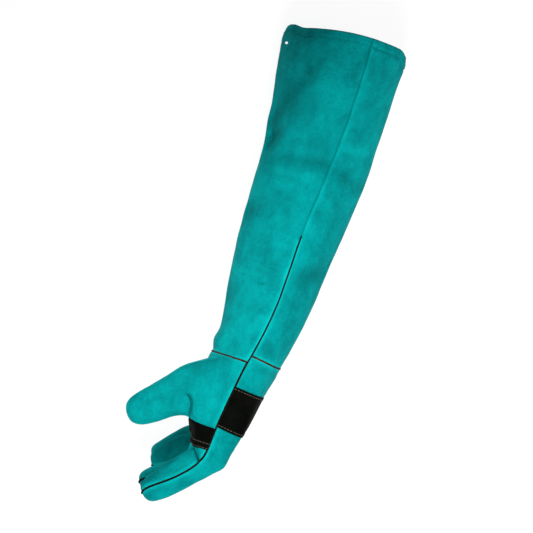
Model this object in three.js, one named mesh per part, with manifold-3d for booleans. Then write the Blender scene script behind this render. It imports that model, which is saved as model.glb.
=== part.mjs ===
// A left-hand animal handling glove: a long split-leather gauntlet with a closed hand, lying on its little-finger side.
// Millimetres, +Z up. The sleeve runs along +Y to its open cuff, the palm faces -X and the back of the hand faces +X.
// One smooth skin is worked out from the tables of sections, cut into leather panels along its seams, and each panel
// is then thickened inwards to its own wall. Strips of black welting fill the seams.
import * as THREE from 'three';
import { mergeVertices } from 'three/addons/utils/BufferGeometryUtils.js';
import Module from 'manifold-3d';

const wasm = await Module();
wasm.setup();

// Driving dimensions
const LEATHER = 2.0; // wall of the green split leather
const HEM = 3.6; // the cuff's edge, where the leather is folded over
const PATCH = 1.6; // black reinforcing leather
const PATCH_LIFT = 0.5; // clearance between a patch and the panel under it
const SEAM_GAP = 2.4; // distance between two panels at a seam
const WELT = 1.6; // width of the strip sewn into a seam
const WELT_DEPTH = 1.8; // how far a welt goes down into the seam
const WELT_PROUD = 0.2; // how far it stands out of the seam
const WELT_SUNK = 0.4; // how far the sleeve's lower welt lies inside its seam, clear of the surface under it
const HANG_HOLE = 3.2; // diameter of the hole at the cuff's corner
const HANG_HOLE_AT = { x: -64.5, y: 357 };
const AROUND = 20; // columns of the skin round the arm: 10 on the palm side, 10 on the back
const HALF = AROUND / 2;

// The cuff's edge is cut in a low arch: y = rise + tilt x - bow x^2
const CUFF = { rise: 388.5, tilt: 0.1, bow: 0.0018, fade: 60 };

// Sleeve sections from the cuff to the wrist. y is the distance from the wrist seam, palm and back are the two sides,
// seam is where the upper seam runs, top is the height, and palmEdge and backEdge the heights of the two sides, where
// the upper half meets the lower. pinch draws the palm side to an edge.
const SLEEVE = [
  { y: 388, palm: -67, back: 69, seam: 28, top: 84, palmEdge: 14, backEdge: 30, pinch: 0.55, hem: true },
  { y: 379, palm: -70, back: 71, seam: 28.5, top: 86, palmEdge: 15, backEdge: 31, pinch: 0.55, hem: true },
  { y: 373, palm: -72, back: 71, seam: 29, top: 87, palmEdge: 16, backEdge: 32, pinch: 0.5 },
  { y: 318, palm: -66.2, back: 69.4, seam: 29.2, top: 90, palmEdge: 25, backEdge: 35, pinch: 0.22 },
  { y: 245, palm: -55, back: 70.8, seam: 26, top: 88, palmEdge: 34, backEdge: 38, pinch: 0.03 },
  { y: 165, palm: -52.8, back: 62.4, seam: 17.8, top: 91, palmEdge: 39, backEdge: 39, pinch: 0 },
  { y: 88, palm: -47.6, back: 55, seam: 17.2, top: 94, palmEdge: 43, backEdge: 42, pinch: 0 },
  { y: 22, palm: -37.8, back: 43.6, seam: 7.4, top: 98, palmEdge: 46, backEdge: 46, pinch: 0 },
];

// Wrist and palm sections. slant brings the little-finger end of a row nearer the arm. thenar and knuckle blend from the
// arm's round section to the ball of the thumb and to the row of knuckles. The wrist seam runs on the second row on the
// palm side and on the first row on the back, which drops by backDrop towards its middle. floor keeps the underside up
// by what is sewn on below it.
const PALM = [
  { y: 4.5, palm: -37.4, back: 39, seam: 4, top: 99, slant: 0, thenar: 0, knuckle: 0, backDrop: 6, floor: 0.8 },
  { y: 0, palm: -38, back: 38, seam: 2.9, top: 100, slant: 0, thenar: 0.1, knuckle: 0, backDrop: 5, floor: 0.8 },
  { y: -5, palm: -40.5, back: 37.4, seam: 2.2, top: 102, slant: 1, thenar: 0.5, knuckle: 0, backDrop: 4.5, floor: 1 },
  { y: -30, palm: -42, back: 32.5, seam: 0.8, top: 105, slant: 3, thenar: 1, knuckle: 0.1, backDrop: 4.5, floor: 2.05 },
  { y: -57, palm: -41.5, back: 30.5, seam: -2.6, top: 108, slant: 7, thenar: 0.75, knuckle: 0.3, backDrop: 3.5, floor: 2.05 },
  { y: -83, palm: -38.5, back: 27, seam: -6, top: 110, slant: 12, thenar: 0.35, knuckle: 0.65, backDrop: 3, floor: 2.05 },
];

// Front columns at the ball of the thumb: across is -1 at the palm and 0 at the middle, up is a share of the height
const THENAR = [
  { across: 0, up: 1 }, { across: -0.52, up: 0.97 }, { across: -0.98, up: 0.84 }, { across: -1, up: 0.66 },
  { across: -0.98, up: 0.54 }, { across: -0.97, up: 0.43 }, { across: -0.97, up: 0.33 }, { across: -0.94, up: 0.23 },
  { across: -0.85, up: 0.13 }, { across: -0.5, up: 0.02 }, { across: 0, up: 0 },
];

// Fingers from the index down. x, y and z place the knuckle, thick and wide are half sizes palm to back and side to
// side, length runs to the tip, and a finger turns from start to curl degrees towards the palm within bend mm.
const FINGERS = [
  { name: 'index', x: -6, y: -109, z: 97, zTip: 99, thick: 22.8, wide: 13.8, length: 95, start: 0, curl: 46.5, bend: 21 },
  { name: 'middle', x: -9, y: -112, z: 69.3, zTip: 70, thick: 21.5, wide: 13.4, length: 91, start: 12, curl: 60, bend: 40 },
  { name: 'ring', x: -13, y: -103, z: 41.8, zTip: 41.5, thick: 21.5, wide: 13.4, length: 71, start: 24, curl: 53, bend: 32 },
  { name: 'little', x: -17.5, y: -91, z: 14.4, zTip: 14, thick: 20.8, wide: 13.4, length: 71, start: 35, curl: 51, bend: 20 },
];

// Finger sections: at is a share of the length, thick and wide are shares of the knuckle's half sizes, and seam is how
// far the upper seam lies towards the palm
const FINGER_ROWS = [
  { at: 0.15, thick: 0.99, wide: 0.96, seam: 0.22 },
  { at: 0.33, thick: 0.92, wide: 0.97, seam: 0.05 },
  { at: 0.58, thick: 0.83, wide: 0.97, seam: 0 },
  { at: 0.8, thick: 0.7, wide: 0.92, seam: 0.1 },
  { at: 0.94, thick: 0.56, wide: 0.72, seam: 0.18 },
];

// Thumb sections. x and y are the centre, turn the angle of its direction from -Y towards the palm, wide and thick the
// half sizes in the plane of the palm's side and across it, z the height of the centre.
const THUMB = [
  { x: -54, y: -48.5, z: 86, turn: 76, wide: 29.8, thick: 18.5 },
  { x: -69, y: -62.5, z: 84, turn: 68, wide: 24, thick: 17.5 },
  { x: -83.5, y: -76, z: 82, turn: 64, wide: 21, thick: 16.5 },
  { x: -97, y: -87, z: 82, turn: 62, wide: 19, thick: 14 },
  { x: -107.5, y: -92.5, z: 82, turn: 64, wide: 14, thick: 9.5 },
];
const THUMB_TIP = { x: -114, y: -94.5, z: 82 };

// Broad dents in the sleeve. x and y place the middle, z chooses the upper or lower layer, angle turns the dent's length
// from +X, and depth sinks it.
const DENTS = [
  { x: -8, y: 236, angle: 8, length: 46, width: 9, depth: 3.2 },
  { x: 48, y: 232, angle: -18, length: 30, width: 8, depth: 3.4 },
  { x: -6, y: 112, angle: -42, length: 34, width: 9, depth: 3.0 },
  { x: -46, y: 300, angle: 70, length: 55, width: 12, depth: 4.5 },
  { x: 46, y: 118, angle: 35, length: 34, width: 10, depth: 2.8 },
  { x: -30, y: 178, angle: 40, length: 30, width: 10, depth: 2.4 },
];

const GREEN = new THREE.MeshStandardMaterial({ color: 0x0b9a93, roughness: 0.95, metalness: 0 });
const BLACK = new THREE.MeshStandardMaterial({ color: 0x0d0f0e, roughness: 0.85, metalness: 0 });
const BROWN = new THREE.MeshStandardMaterial({ color: 0x2e211b, roughness: 0.8, metalness: 0 });

const rad = (degrees) => (degrees * Math.PI) / 180;
const mix = (a, b, t) => a + (b - a) * t;
const mixPoint = (a, b, t) => a.clone().lerp(b, t);
// A smooth surface lies inside the corners that steer it, by this much on a ring of n corners
const inside = (n) => (2 + Math.cos((2 * Math.PI) / n)) / 3;

// One corner of an arm section at the angle phi, from the top towards the palm
function armPoint(row, phi, y) {
  const across = -Math.sin(phi);
  const centre = (row.palm + row.back) / 2;
  const reach = (row.back - row.palm) / 2 / inside(AROUND);
  const palmEdge = row.palmEdge ?? row.top * 0.48;
  const backEdge = row.backEdge ?? row.top * 0.48;
  const edge = mix(palmEdge, backEdge, (across + 1) / 2);
  const pinch = across < 0 ? (row.pinch ?? 0) * -across : 0;
  const lift = Math.cos(phi);
  const z = lift >= 0
    ? edge + ((row.top - edge) / inside(AROUND)) * lift ** (1 + pinch)
    : edge * Math.max(0, 1 - 1.16 * (-lift) ** (0.85 + pinch));
  return new THREE.Vector3(centre + reach * across, y, z);
}

// Angles of the columns: the palm side runs from the upper seam to the lower, and the back goes on round
function columnAngles(row) {
  const centre = (row.palm + row.back) / 2;
  const reach = (row.back - row.palm) / 2;
  const upper = -Math.asin((row.seam - centre) / reach);
  const lower = Math.PI;
  return Array.from({ length: AROUND }, (_, k) =>
    k <= HALF ? mix(upper, lower, k / HALF) : mix(lower, upper + 2 * Math.PI, (k - HALF) / HALF));
}

function sleeveRing(row) {
  return columnAngles(row).map((phi) => {
    const p = armPoint(row, phi, row.y);
    const edge = CUFF.rise + CUFF.tilt * p.x - CUFF.bow * p.x * p.x;
    const share = Math.max(0, 1 - (SLEEVE[0].y - row.y) / CUFF.fade);
    p.y += (edge - SLEEVE[0].y) * share;
    return p;
  });
}

// The row of knuckles as a ring of corners, round the four fingers from the upper seam
function knuckleRing() {
  const first = FINGERS[0];
  const last = FINGERS[FINGERS.length - 1];
  const { floor } = PALM[PALM.length - 1];
  const corner = (f, across, up) => new THREE.Vector3(
    f.x + (across * f.thick) / inside(8), f.y, Math.max(floor, f.z + (up * f.wide) / inside(8)));
  const side = (sign) => {
    const points = [corner(first, 0.72 * sign, 0.74)];
    FINGERS.forEach((f, i) => {
      points.push(corner(f, sign, 0));
      const next = FINGERS[i + 1];
      if (next) points.push(mixPoint(corner(f, 0.8 * sign, 0), corner(next, 0.8 * sign, 0), 0.5));
    });
    points.push(corner(last, 0.72 * sign, -0.9));
    return points;
  };
  const palm = side(-1);
  const back = side(1).reverse();
  return [corner(first, -0.25, 1), ...palm, corner(last, 0, -1), ...back];
}

function palmRing(row, knuckles) {
  const centre = (row.palm + row.back) / 2;
  const reach = (row.back - row.palm) / 2 / inside(AROUND);
  return columnAngles(row).map((phi, k) => {
    const arm = armPoint(row, phi, row.y);
    const front = k <= HALF;
    const t = THENAR[front ? k : AROUND - k];
    const ball = new THREE.Vector3(centre + reach * t.across * (front ? 1 : -1), row.y, t.up * row.top);
    if (t.across === 0) ball.x = arm.x;
    const p = mixPoint(arm, ball, row.thenar * (front ? 1 : 0.55));
    const q = knuckles[k].clone();
    q.x = centre + ((q.x - FINGERS[0].x) * reach) / (FINGERS[0].thick / inside(8));
    q.y = row.y;
    p.lerp(q, row.knuckle);
    p.z = Math.max(row.floor, p.z);
    p.y += row.slant * (1 - p.z / row.top);
    if (!front) p.y -= row.backDrop * Math.min(1, (AROUND - k) / 3, (k - HALF) / 3);
    return p;
  });
}

// A finger's centreline, followed from the knuckle in short steps while it turns towards the palm
function alongFinger(f, distance) {
  const step = 1;
  let x = f.x;
  let y = f.y;
  let angle = f.start;
  for (let s = 0; s < distance; s += step) {
    const t = Math.min(1, s / f.bend);
    angle = mix(f.start, f.curl, t * t * (3 - 2 * t));
    x -= Math.sin(rad(angle)) * step;
    y -= Math.cos(rad(angle)) * step;
  }
  return { x, y, z: mix(f.z, f.zTip, distance / f.length), angle };
}

// Eight corners round a finger: its upper seam, three on the palm side, its lower seam, three on the back
function fingerRing(f, row) {
  const c = alongFinger(f, row.at * f.length);
  const thick = (row.thick * f.thick) / inside(8);
  const wide = (row.wide * f.wide) / inside(8);
  return Array.from({ length: 8 }, (_, i) => {
    const phi = (i * Math.PI) / 4;
    const out = (i === 0 ? row.seam : Math.sin(phi)) * thick;
    return new THREE.Vector3(
      c.x - out * Math.cos(rad(c.angle)), c.y + out * Math.sin(rad(c.angle)), Math.max(1, c.z + Math.cos(phi) * wide));
  });
}

// Ten corners round the thumb, from the seam on its arm side over the top to the seam on its finger side
function thumbRing(row) {
  return Array.from({ length: 10 }, (_, i) => {
    const phi = (i * Math.PI) / 5;
    const out = (Math.cos(phi) * row.wide) / inside(10);
    return new THREE.Vector3(
      row.x - out * Math.cos(rad(row.turn)), row.y + out * Math.sin(rad(row.turn)),
      row.z + (Math.sin(phi) * row.thick) / inside(10));
  });
}

// The coarse skin: corners, and four-sided faces that each know their panel and their patch
const corners = [];
const faces = [];
const addCorner = (p) => corners.push(p) - 1;
const addRing = (points) => points.map(addCorner);
const addFace = (ids, panel, patch = null) => faces.push({ ids, panel, patch });

function bridge(upper, lower, panelOf, patchOf = () => null, turned = false) {
  upper.forEach((_, k) => {
    const next = (k + 1) % upper.length;
    const panel = panelOf(k);
    const ids = [upper[k], upper[next], lower[next], lower[k]];
    if (panel) addFace(turned ? ids.reverse() : ids, panel, patchOf(k));
  });
}

const frontOf = (k) => k < HALF;
const knuckles = knuckleRing();
const sleeveRings = SLEEVE.map((row) => addRing(sleeveRing(row)));
const palmRings = PALM.map((row) => addRing(palmRing(row, knuckles)));
const knuckleIds = addRing(knuckles);

[...sleeveRings, palmRings[0]].reduce((upper, lower) => {
  bridge(upper, lower, (k) => (frontOf(k) ? 'sleeve_front' : 'sleeve_back'));
  return lower;
});

const THUMB_COLUMNS = [1, 2];
const THUMB_FIRST_ROW = 2;
const PATCH_FIRST_ROW = 3;
[...palmRings, knuckleIds].reduce((upper, lower, i) => {
  const row = i - 1;
  const lastRow = row === palmRings.length - 1;
  const inThumb = (k) => THUMB_COLUMNS.includes(k) && row >= THUMB_FIRST_ROW && !lastRow;
  const front = row === 0 ? 'sleeve_front' : 'palm_panel';
  bridge(
    upper, lower,
    (k) => (inThumb(k) ? null : frontOf(k) ? front : 'hand_back'),
    (k) => (frontOf(k) ? (lastRow ? 'palm_patch' : null) : row >= PATCH_FIRST_ROW && !lastRow ? 'knuckle_patch' : null));
  return lower;
});

// Each finger starts on its own corners of the knuckle ring and shares a corner deep in the web with its neighbour
const webs = FINGERS.slice(1).map((f, i) => {
  const a = FINGERS[i];
  return addCorner(new THREE.Vector3((a.x + f.x) / 2 - 2, (a.y + f.y) / 2 - 3, (a.z + f.z) / 2));
});
FINGERS.forEach((f, i) => {
  const front = [1 + 2 * i, 2 + 2 * i, 3 + 2 * i];
  const back = front.map((k) => AROUND - k).reverse();
  const root = [
    i === 0 ? knuckleIds[0] : webs[i - 1], ...front.map((k) => knuckleIds[k]),
    i === FINGERS.length - 1 ? knuckleIds[HALF] : webs[i], ...back.map((k) => knuckleIds[k]),
  ];
  const rings = [root, ...FINGER_ROWS.map((row) => addRing(fingerRing(f, row)))];
  const panelOf = (k) => (k < 4 ? f.name + '_front' : 'hand_back');
  rings.reduce((upper, lower) => {
    bridge(upper, lower, panelOf);
    return lower;
  });
  const end = alongFinger(f, f.length);
  const tip = addCorner(new THREE.Vector3(end.x, end.y, end.z));
  const last = rings[rings.length - 1];
  for (let k = 0; k < 8; k += 2) addFace([tip, last[k], last[k + 1], last[(k + 2) % 8]], panelOf(k));
});

// The thumb grows out of the gap left in the palm panel
{
  const at = (row, column) => palmRings[row][column];
  const first = THUMB_FIRST_ROW;
  const root = [
    at(first, 2), at(first, 1), at(first + 1, 1), at(first + 2, 1), at(first + 3, 1),
    at(first + 3, 2), at(first + 3, 3), at(first + 2, 3), at(first + 1, 3), at(first, 3),
  ];
  const rings = [root, ...THUMB.map((row) => addRing(thumbRing(row)))];
  const panelOf = (k) => (k < 5 ? 'palm_panel' : 'thumb_inner');
  rings.reduce((upper, lower) => {
    bridge(upper, lower, panelOf, () => null, true);
    return lower;
  });
  const last = rings[rings.length - 1];
  const lastRow = THUMB[THUMB.length - 1];
  const tips = [0.35, -0.35].map((share) => addCorner(new THREE.Vector3(
    THUMB_TIP.x - share * lastRow.wide * Math.cos(rad(lastRow.turn)),
    THUMB_TIP.y + share * lastRow.wide * Math.sin(rad(lastRow.turn)), THUMB_TIP.z)));
  addFace([tips[0], last[2], last[1], last[0]], 'palm_panel');
  addFace([tips[1], last[3], last[2], tips[0]], 'palm_panel');
  addFace([last[5], last[4], last[3], tips[1]], 'palm_panel');
  addFace([tips[0], last[0], last[9], last[8]], 'thumb_inner');
  addFace([tips[1], tips[0], last[8], last[7]], 'thumb_inner');
  addFace([last[5], tips[1], last[7], last[6]], 'thumb_inner');
}

const edgeKey = (a, b) => (a < b ? a + '_' + b : b + '_' + a);

// Which faces meet at each edge and which corners are joined to each corner
function links(list) {
  const edges = new Map();
  list.forEach((face, f) => face.ids.forEach((a, i) => {
    const b = face.ids[(i + 1) % face.ids.length];
    const key = edgeKey(a, b);
    if (!edges.has(key)) edges.set(key, { a, b, faces: [] });
    edges.get(key).faces.push(f);
  }));
  return edges;
}

// One round of Catmull-Clark subdivision: every four-sided face becomes four, and corners are smoothed
function refine(points, list) {
  const edges = links(list);
  const made = [];
  const faceIds = list.map((face) => {
    const p = new THREE.Vector3();
    face.ids.forEach((id) => p.add(points[id]));
    return made.push(p.divideScalar(face.ids.length)) - 1;
  });
  const around = points.map(() => ({ faces: [], edges: [], rim: [] }));
  list.forEach((face, f) => face.ids.forEach((id) => around[id].faces.push(made[faceIds[f]])));
  for (const edge of edges.values()) {
    const middle = mixPoint(points[edge.a], points[edge.b], 0.5);
    const rim = edge.faces.length === 1;
    for (const [id, other] of [[edge.a, edge.b], [edge.b, edge.a]]) {
      around[id].edges.push(middle);
      if (rim) around[id].rim.push(points[other]);
    }
    const p = rim ? middle.clone() : middle.clone().multiplyScalar(2)
      .add(made[faceIds[edge.faces[0]]]).add(made[faceIds[edge.faces[1]]]).divideScalar(4);
    edge.id = made.push(p) - 1;
  }
  const cornerIds = points.map((p, id) => {
    const near = around[id];
    if (near.rim.length) return made.push(p.clone().multiplyScalar(6).add(near.rim[0]).add(near.rim[1]).divideScalar(8)) - 1;
    const n = near.faces.length;
    const q = near.faces.reduce((sum, v) => sum.add(v), new THREE.Vector3()).divideScalar(n);
    const r = near.edges.reduce((sum, v) => sum.add(v), new THREE.Vector3()).divideScalar(near.edges.length);
    return made.push(q.add(r.multiplyScalar(2)).add(p.clone().multiplyScalar(n - 3)).divideScalar(n)) - 1;
  });
  const out = [];
  list.forEach((face, f) => face.ids.forEach((id, i) => {
    const n = face.ids.length;
    const after = edges.get(edgeKey(id, face.ids[(i + 1) % n])).id;
    const before = edges.get(edgeKey(id, face.ids[(i + n - 1) % n])).id;
    out.push({ ...face, ids: [cornerIds[id], after, faceIds[f], before] });
  }));
  return { points: made, list: out, cornerIds };
}

// Moves every corner onto the smooth surface that further rounds would reach
function settle(points, list) {
  const edges = links(list);
  const sums = points.map(() => ({ side: new THREE.Vector3(), across: new THREE.Vector3(), n: 0, rim: [] }));
  for (const { a, b, faces: met } of edges.values()) {
    for (const [id, other] of [[a, b], [b, a]]) {
      sums[id].side.add(points[other]);
      sums[id].n += 1;
      if (met.length === 1) sums[id].rim.push(points[other]);
    }
  }
  list.forEach(({ ids }) => ids.forEach((id, i) => sums[id].across.add(points[ids[(i + 2) % 4]])));
  return points.map((p, id) => {
    const s = sums[id];
    if (s.rim.length) return p.clone().multiplyScalar(4).add(s.rim[0]).add(s.rim[1]).divideScalar(6);
    return p.clone().multiplyScalar(s.n * s.n).add(s.side.clone().multiplyScalar(4)).add(s.across)
      .divideScalar(s.n * (s.n + 5));
  });
}

function normalsOf(points, list) {
  const normals = points.map(() => new THREE.Vector3());
  list.forEach(({ ids }) => {
    const [a, b, c, d] = ids.map((id) => points[id]);
    const n = c.clone().sub(a).cross(d.clone().sub(b));
    ids.forEach((id) => normals[id].add(n));
  });
  return normals.map((n) => n.normalize());
}

const refined = refine(corners, faces);
const skin = settle(refined.points, refined.list);
const skinFaces = refined.list;
let skinNormals = normalsOf(skin, skinFaces);

// Press the broad dents into the upper layer of the sleeve
skin.forEach((p, i) => {
  if (skinNormals[i].z < 0.25) return;
  for (const dent of DENTS) {
    const dx = p.x - dent.x;
    const dy = p.y - dent.y;
    const c = Math.cos(rad(dent.angle));
    const s = Math.sin(rad(dent.angle));
    const u = (dx * c + dy * s) / dent.length;
    const v = (dy * c - dx * s) / dent.width;
    p.addScaledVector(skinNormals[i], -dent.depth * Math.exp(-(u * u + v * v)));
  }
});
skinNormals = normalsOf(skin, skinFaces);

const hemCorners = new Set();
const hemRings = sleeveRings.filter((_, i) => SLEEVE[i].hem).flat().map((id) => refined.cornerIds[id]);
const hemLimit = Math.min(...hemRings.map((id) => skin[id].y - (CUFF.tilt * skin[id].x - CUFF.bow * skin[id].x ** 2)));
skin.forEach((p, id) => {
  if (p.y - (CUFF.tilt * p.x - CUFF.bow * p.x ** 2) > hemLimit - 0.1) hemCorners.add(id);
});

function geometryOf(vertices, triangles) {
  const g = new THREE.BufferGeometry();
  g.setAttribute('position', new THREE.Float32BufferAttribute(vertices.flatMap((p) => [p.x, p.y, p.z]), 3));
  g.setIndex(triangles.flat());
  g.computeVertexNormals();
  return g;
}

// Splits a four-sided face along its shorter diagonal
function triangles(p, [a, b, c, d]) {
  return p[a].distanceTo(p[c]) <= p[b].distanceTo(p[d]) ? [[a, b, c], [a, c, d]] : [[a, b, d], [b, c, d]];
}

// A panel of leather: the faces chosen, drawn in at seams, between an outer and an inner surface
function leather(chosen, outer, inner, gap = SEAM_GAP) {
  const edges = links(chosen);
  const used = [...new Set(chosen.flatMap((f) => f.ids))];
  const placeOf = new Map(used.map((id, i) => [id, i]));
  const inward = new Map();
  for (const { a, b, faces: met } of edges.values()) {
    if (met.length === 2 || !seamEdges.has(edgeKey(a, b))) continue;
    const middle = mixPoint(skin[a], skin[b], 0.5);
    const centre = chosen[met[0]].ids.reduce((sum, id) => sum.add(skin[id]), new THREE.Vector3()).divideScalar(4);
    const along = skin[b].clone().sub(skin[a]).normalize();
    for (const id of [a, b]) {
      const into = centre.clone().sub(middle);
      into.addScaledVector(along, -into.dot(along));
      into.addScaledVector(skinNormals[id], -into.dot(skinNormals[id])).normalize();
      if (!inward.has(id)) inward.set(id, []);
      inward.get(id).push(into);
    }
  }
  const drawnIn = used.map((id) => {
    const p = skin[id].clone();
    const ways = inward.get(id);
    if (!ways) return p;
    const sum = ways.reduce((s, v) => s.add(v), new THREE.Vector3());
    const share = sum.lengthSq() / ways.length;
    return p.addScaledVector(sum, gap / 2 / Math.max(share, 0.5));
  });
  const depth = (id, value) => (typeof value === 'function' ? value(id) : value);
  const vertices = [
    ...drawnIn.map((p, i) => p.clone().addScaledVector(skinNormals[used[i]], depth(used[i], outer))),
    ...drawnIn.map((p, i) => p.clone().addScaledVector(skinNormals[used[i]], depth(used[i], inner))),
  ];
  const n = used.length;
  const out = [];
  chosen.forEach(({ ids }) => {
    const top = ids.map((id) => placeOf.get(id));
    const split = triangles(vertices, top);
    split.forEach(([a, b, c]) => out.push([a, b, c], [c + n, b + n, a + n]));
  });
  for (const { a, b, faces: met } of edges.values()) {
    if (met.length === 2) continue;
    const { ids } = chosen[met[0]];
    const forward = ids[(ids.indexOf(a) + 1) % 4] === b;
    const [from, to] = (forward ? [a, b] : [b, a]).map((id) => placeOf.get(id));
    out.push([from, from + n, to + n], [from, to + n, to]);
  }
  return geometryOf(vertices, out);
}

const seamEdges = new Set([...links(skinFaces)].filter(([, { faces: met }]) =>
  met.length === 2 && skinFaces[met[0]].panel !== skinFaces[met[1]].panel).map(([key]) => key));
const panelFaces = (name) => skinFaces.filter((f) => f.panel === name);
const patchFaces = (name) => skinFaces.filter((f) => f.patch === name);

// A seam as a chain of corners: the edges where a panel of one group meets a panel of the other
function seamChain(groupA, groupB, keep = () => true) {
  const next = new Map();
  for (const { a, b, faces: met } of links(skinFaces).values()) {
    if (met.length < 2) continue;
    const [p, q] = met.map((f) => skinFaces[f].panel);
    if (!((groupA.has(p) && groupB.has(q)) || (groupA.has(q) && groupB.has(p)))) continue;
    if (!keep(mixPoint(skin[a], skin[b], 0.5))) continue;
    for (const [x, y] of [[a, b], [b, a]]) next.set(x, [...(next.get(x) ?? []), y]);
  }
  const ends = [...next.keys()].filter((id) => next.get(id).length === 1);
  const start = ends.length ? ends.sort((a, b) => skin[b].z - skin[a].z)[0] : [...next.keys()][0];
  const chain = [start];
  for (let last = -1, here = start; ;) {
    const on = next.get(here).find((id) => id !== last && (id !== start || chain.length > 2));
    if (on === undefined || on === start) break;
    chain.push(on);
    [last, here] = [here, on];
  }
  return { chain, closed: ends.length === 0 };
}

// A strip of welting along a seam, square in section, drawn back from each open end
function welt({ chain, closed }, proud = WELT_PROUD, endGap = 2) {
  const points = chain.map((id) => skin[id]);
  const normals = chain.map((id) => skinNormals[id]);
  const n = points.length;
  const rows = points.map((p, i) => {
    const before = points[closed ? (i + n - 1) % n : Math.max(0, i - 1)];
    const after = points[closed ? (i + 1) % n : Math.min(n - 1, i + 1)];
    const along = after.clone().sub(before).normalize();
    const side = normals[i].clone().cross(along).normalize();
    const centre = p.clone();
    if (!closed && i === 0) centre.addScaledVector(along, endGap);
    if (!closed && i === n - 1) centre.addScaledVector(along, -endGap);
    return [[-1, proud], [1, proud], [1, -WELT_DEPTH], [-1, -WELT_DEPTH]].map(([s, d]) =>
      centre.clone().addScaledVector(side, (s * WELT) / 2).addScaledVector(normals[i], d));
  });
  const vertices = rows.flat();
  const out = [];
  const spans = closed ? n : n - 1;
  for (let i = 0; i < spans; i += 1) {
    const j = (i + 1) % n;
    for (let k = 0; k < 4; k += 1) {
      const l = (k + 1) % 4;
      out.push([i * 4 + k, j * 4 + k, j * 4 + l], [i * 4 + k, j * 4 + l, i * 4 + l]);
    }
  }
  if (!closed) {
    const e = (n - 1) * 4;
    out.push([0, 1, 2], [0, 2, 3], [e, e + 2, e + 1], [e, e + 3, e + 2]);
  }
  return geometryOf(vertices, out);
}

// A geometry as a manifold-3d solid, and back
function solidOf(geometry) {
  const g = geometry.clone();
  g.deleteAttribute('normal');
  g.deleteAttribute('uv');
  const merged = mergeVertices(g, 1e-4);
  return new wasm.Manifold(new wasm.Mesh({
    numProp: 3, vertProperties: merged.attributes.position.array, triVerts: new Uint32Array(merged.index.array),
  }));
}
function geometryFrom(solid) {
  const mesh = solid.getMesh();
  const g = new THREE.BufferGeometry();
  g.setAttribute('position', new THREE.BufferAttribute(new Float32Array(mesh.vertProperties), 3));
  g.setIndex([...mesh.triVerts]);
  g.computeVertexNormals();
  return g;
}

// The hole punched through both layers at the cuff's corner
function punch(geometry) {
  const drill = new THREE.CylinderGeometry(HANG_HOLE / 2, HANG_HOLE / 2, 200, 12)
    .rotateX(Math.PI / 2).translate(HANG_HOLE_AT.x, HANG_HOLE_AT.y, 0);
  return geometryFrom(solidOf(geometry).subtract(solidOf(drill)));
}

const glove = new THREE.Group();
function add(name, geometry, material) {
  const mesh = new THREE.Mesh(geometry, material);
  mesh.name = name;
  glove.add(mesh);
}

const wall = (id) => -(hemCorners.has(id) ? HEM : LEATHER);
add('sleeve_front', punch(leather(panelFaces('sleeve_front'), 0, wall)), GREEN);
add('sleeve_back', leather(panelFaces('sleeve_back'), 0, wall), GREEN);
for (const name of ['palm_panel', 'hand_back', 'thumb_inner', ...FINGERS.map((f) => f.name + '_front')])
  add(name, leather(panelFaces(name), 0, -LEATHER), GREEN);
for (const name of ['palm_patch', 'knuckle_patch'])
  add(name, leather(patchFaces(name), PATCH_LIFT + PATCH, PATCH_LIFT), BLACK);

const SLEEVE_PANELS = new Set(['sleeve_front', 'sleeve_back']);
const HAND_PANELS = new Set(['palm_panel', 'hand_back']);
const FRONTS = new Set(['palm_panel', ...FINGERS.map((f) => f.name + '_front')]);
add('upper_arm_welt', welt(seamChain(new Set(['sleeve_front']), new Set(['sleeve_back']), (p) => p.z > 40)), BLACK);
add('lower_arm_welt', welt(seamChain(new Set(['sleeve_front']), new Set(['sleeve_back']), (p) => p.z < 40), -WELT_SUNK), BLACK);
add('wrist_welt', welt(seamChain(SLEEVE_PANELS, HAND_PANELS)), BROWN);

// The seam down the side of the hand goes round every finger to the other side of the hand: a strip for each finger,
// which starts and ends a little short of the webs
const WEB_CLEARANCE = 5;
const webCorners = webs.map((id) => refined.cornerIds[id]);
const side = seamChain(FRONTS, new Set(['hand_back'])).chain;
const cuts = [-1, ...webCorners.map((id) => side.indexOf(id)), side.length];
FINGERS.forEach((f, i) => {
  const chain = side.slice(cuts[i] + 1, cuts[i + 1]).filter((id) =>
    webCorners.every((web) => skin[web].distanceTo(skin[id]) > WEB_CLEARANCE));
  add(f.name + '_welt', welt({ chain, closed: false }), BLACK);
});
add('thumb_welt', welt(seamChain(new Set(['palm_panel']), new Set(['thumb_inner']))), GREEN);

// The origin is under the middle of the glove, on the surface that it lies on
const box = new THREE.Box3().setFromObject(glove);
const shift = new THREE.Vector3(-(box.min.x + box.max.x) / 2, -(box.min.y + box.max.y) / 2, -box.min.z);
glove.children.forEach((mesh) => mesh.geometry.translate(shift.x, shift.y, shift.z));

export default glove;
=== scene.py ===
# %% [markdown]
# # A long leather handling glove, dressed in Blender
# The glove is a left-hand gauntlet of green split leather with black patches and black welted seams. It
# lies on its little-finger side with the thumb on top. The measured model gives the frame, and each of its
# solids is replaced here by a finer piece in the same place: leather panels cut from one smooth skin, welts
# in the seams, patches and thread.

# %% Load the frame
import itertools
import math

import bmesh
import bpy
from mathutils import Matrix, Vector, noise
from mathutils.bvhtree import BVHTree
from mathutils.kdtree import KDTree


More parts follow.
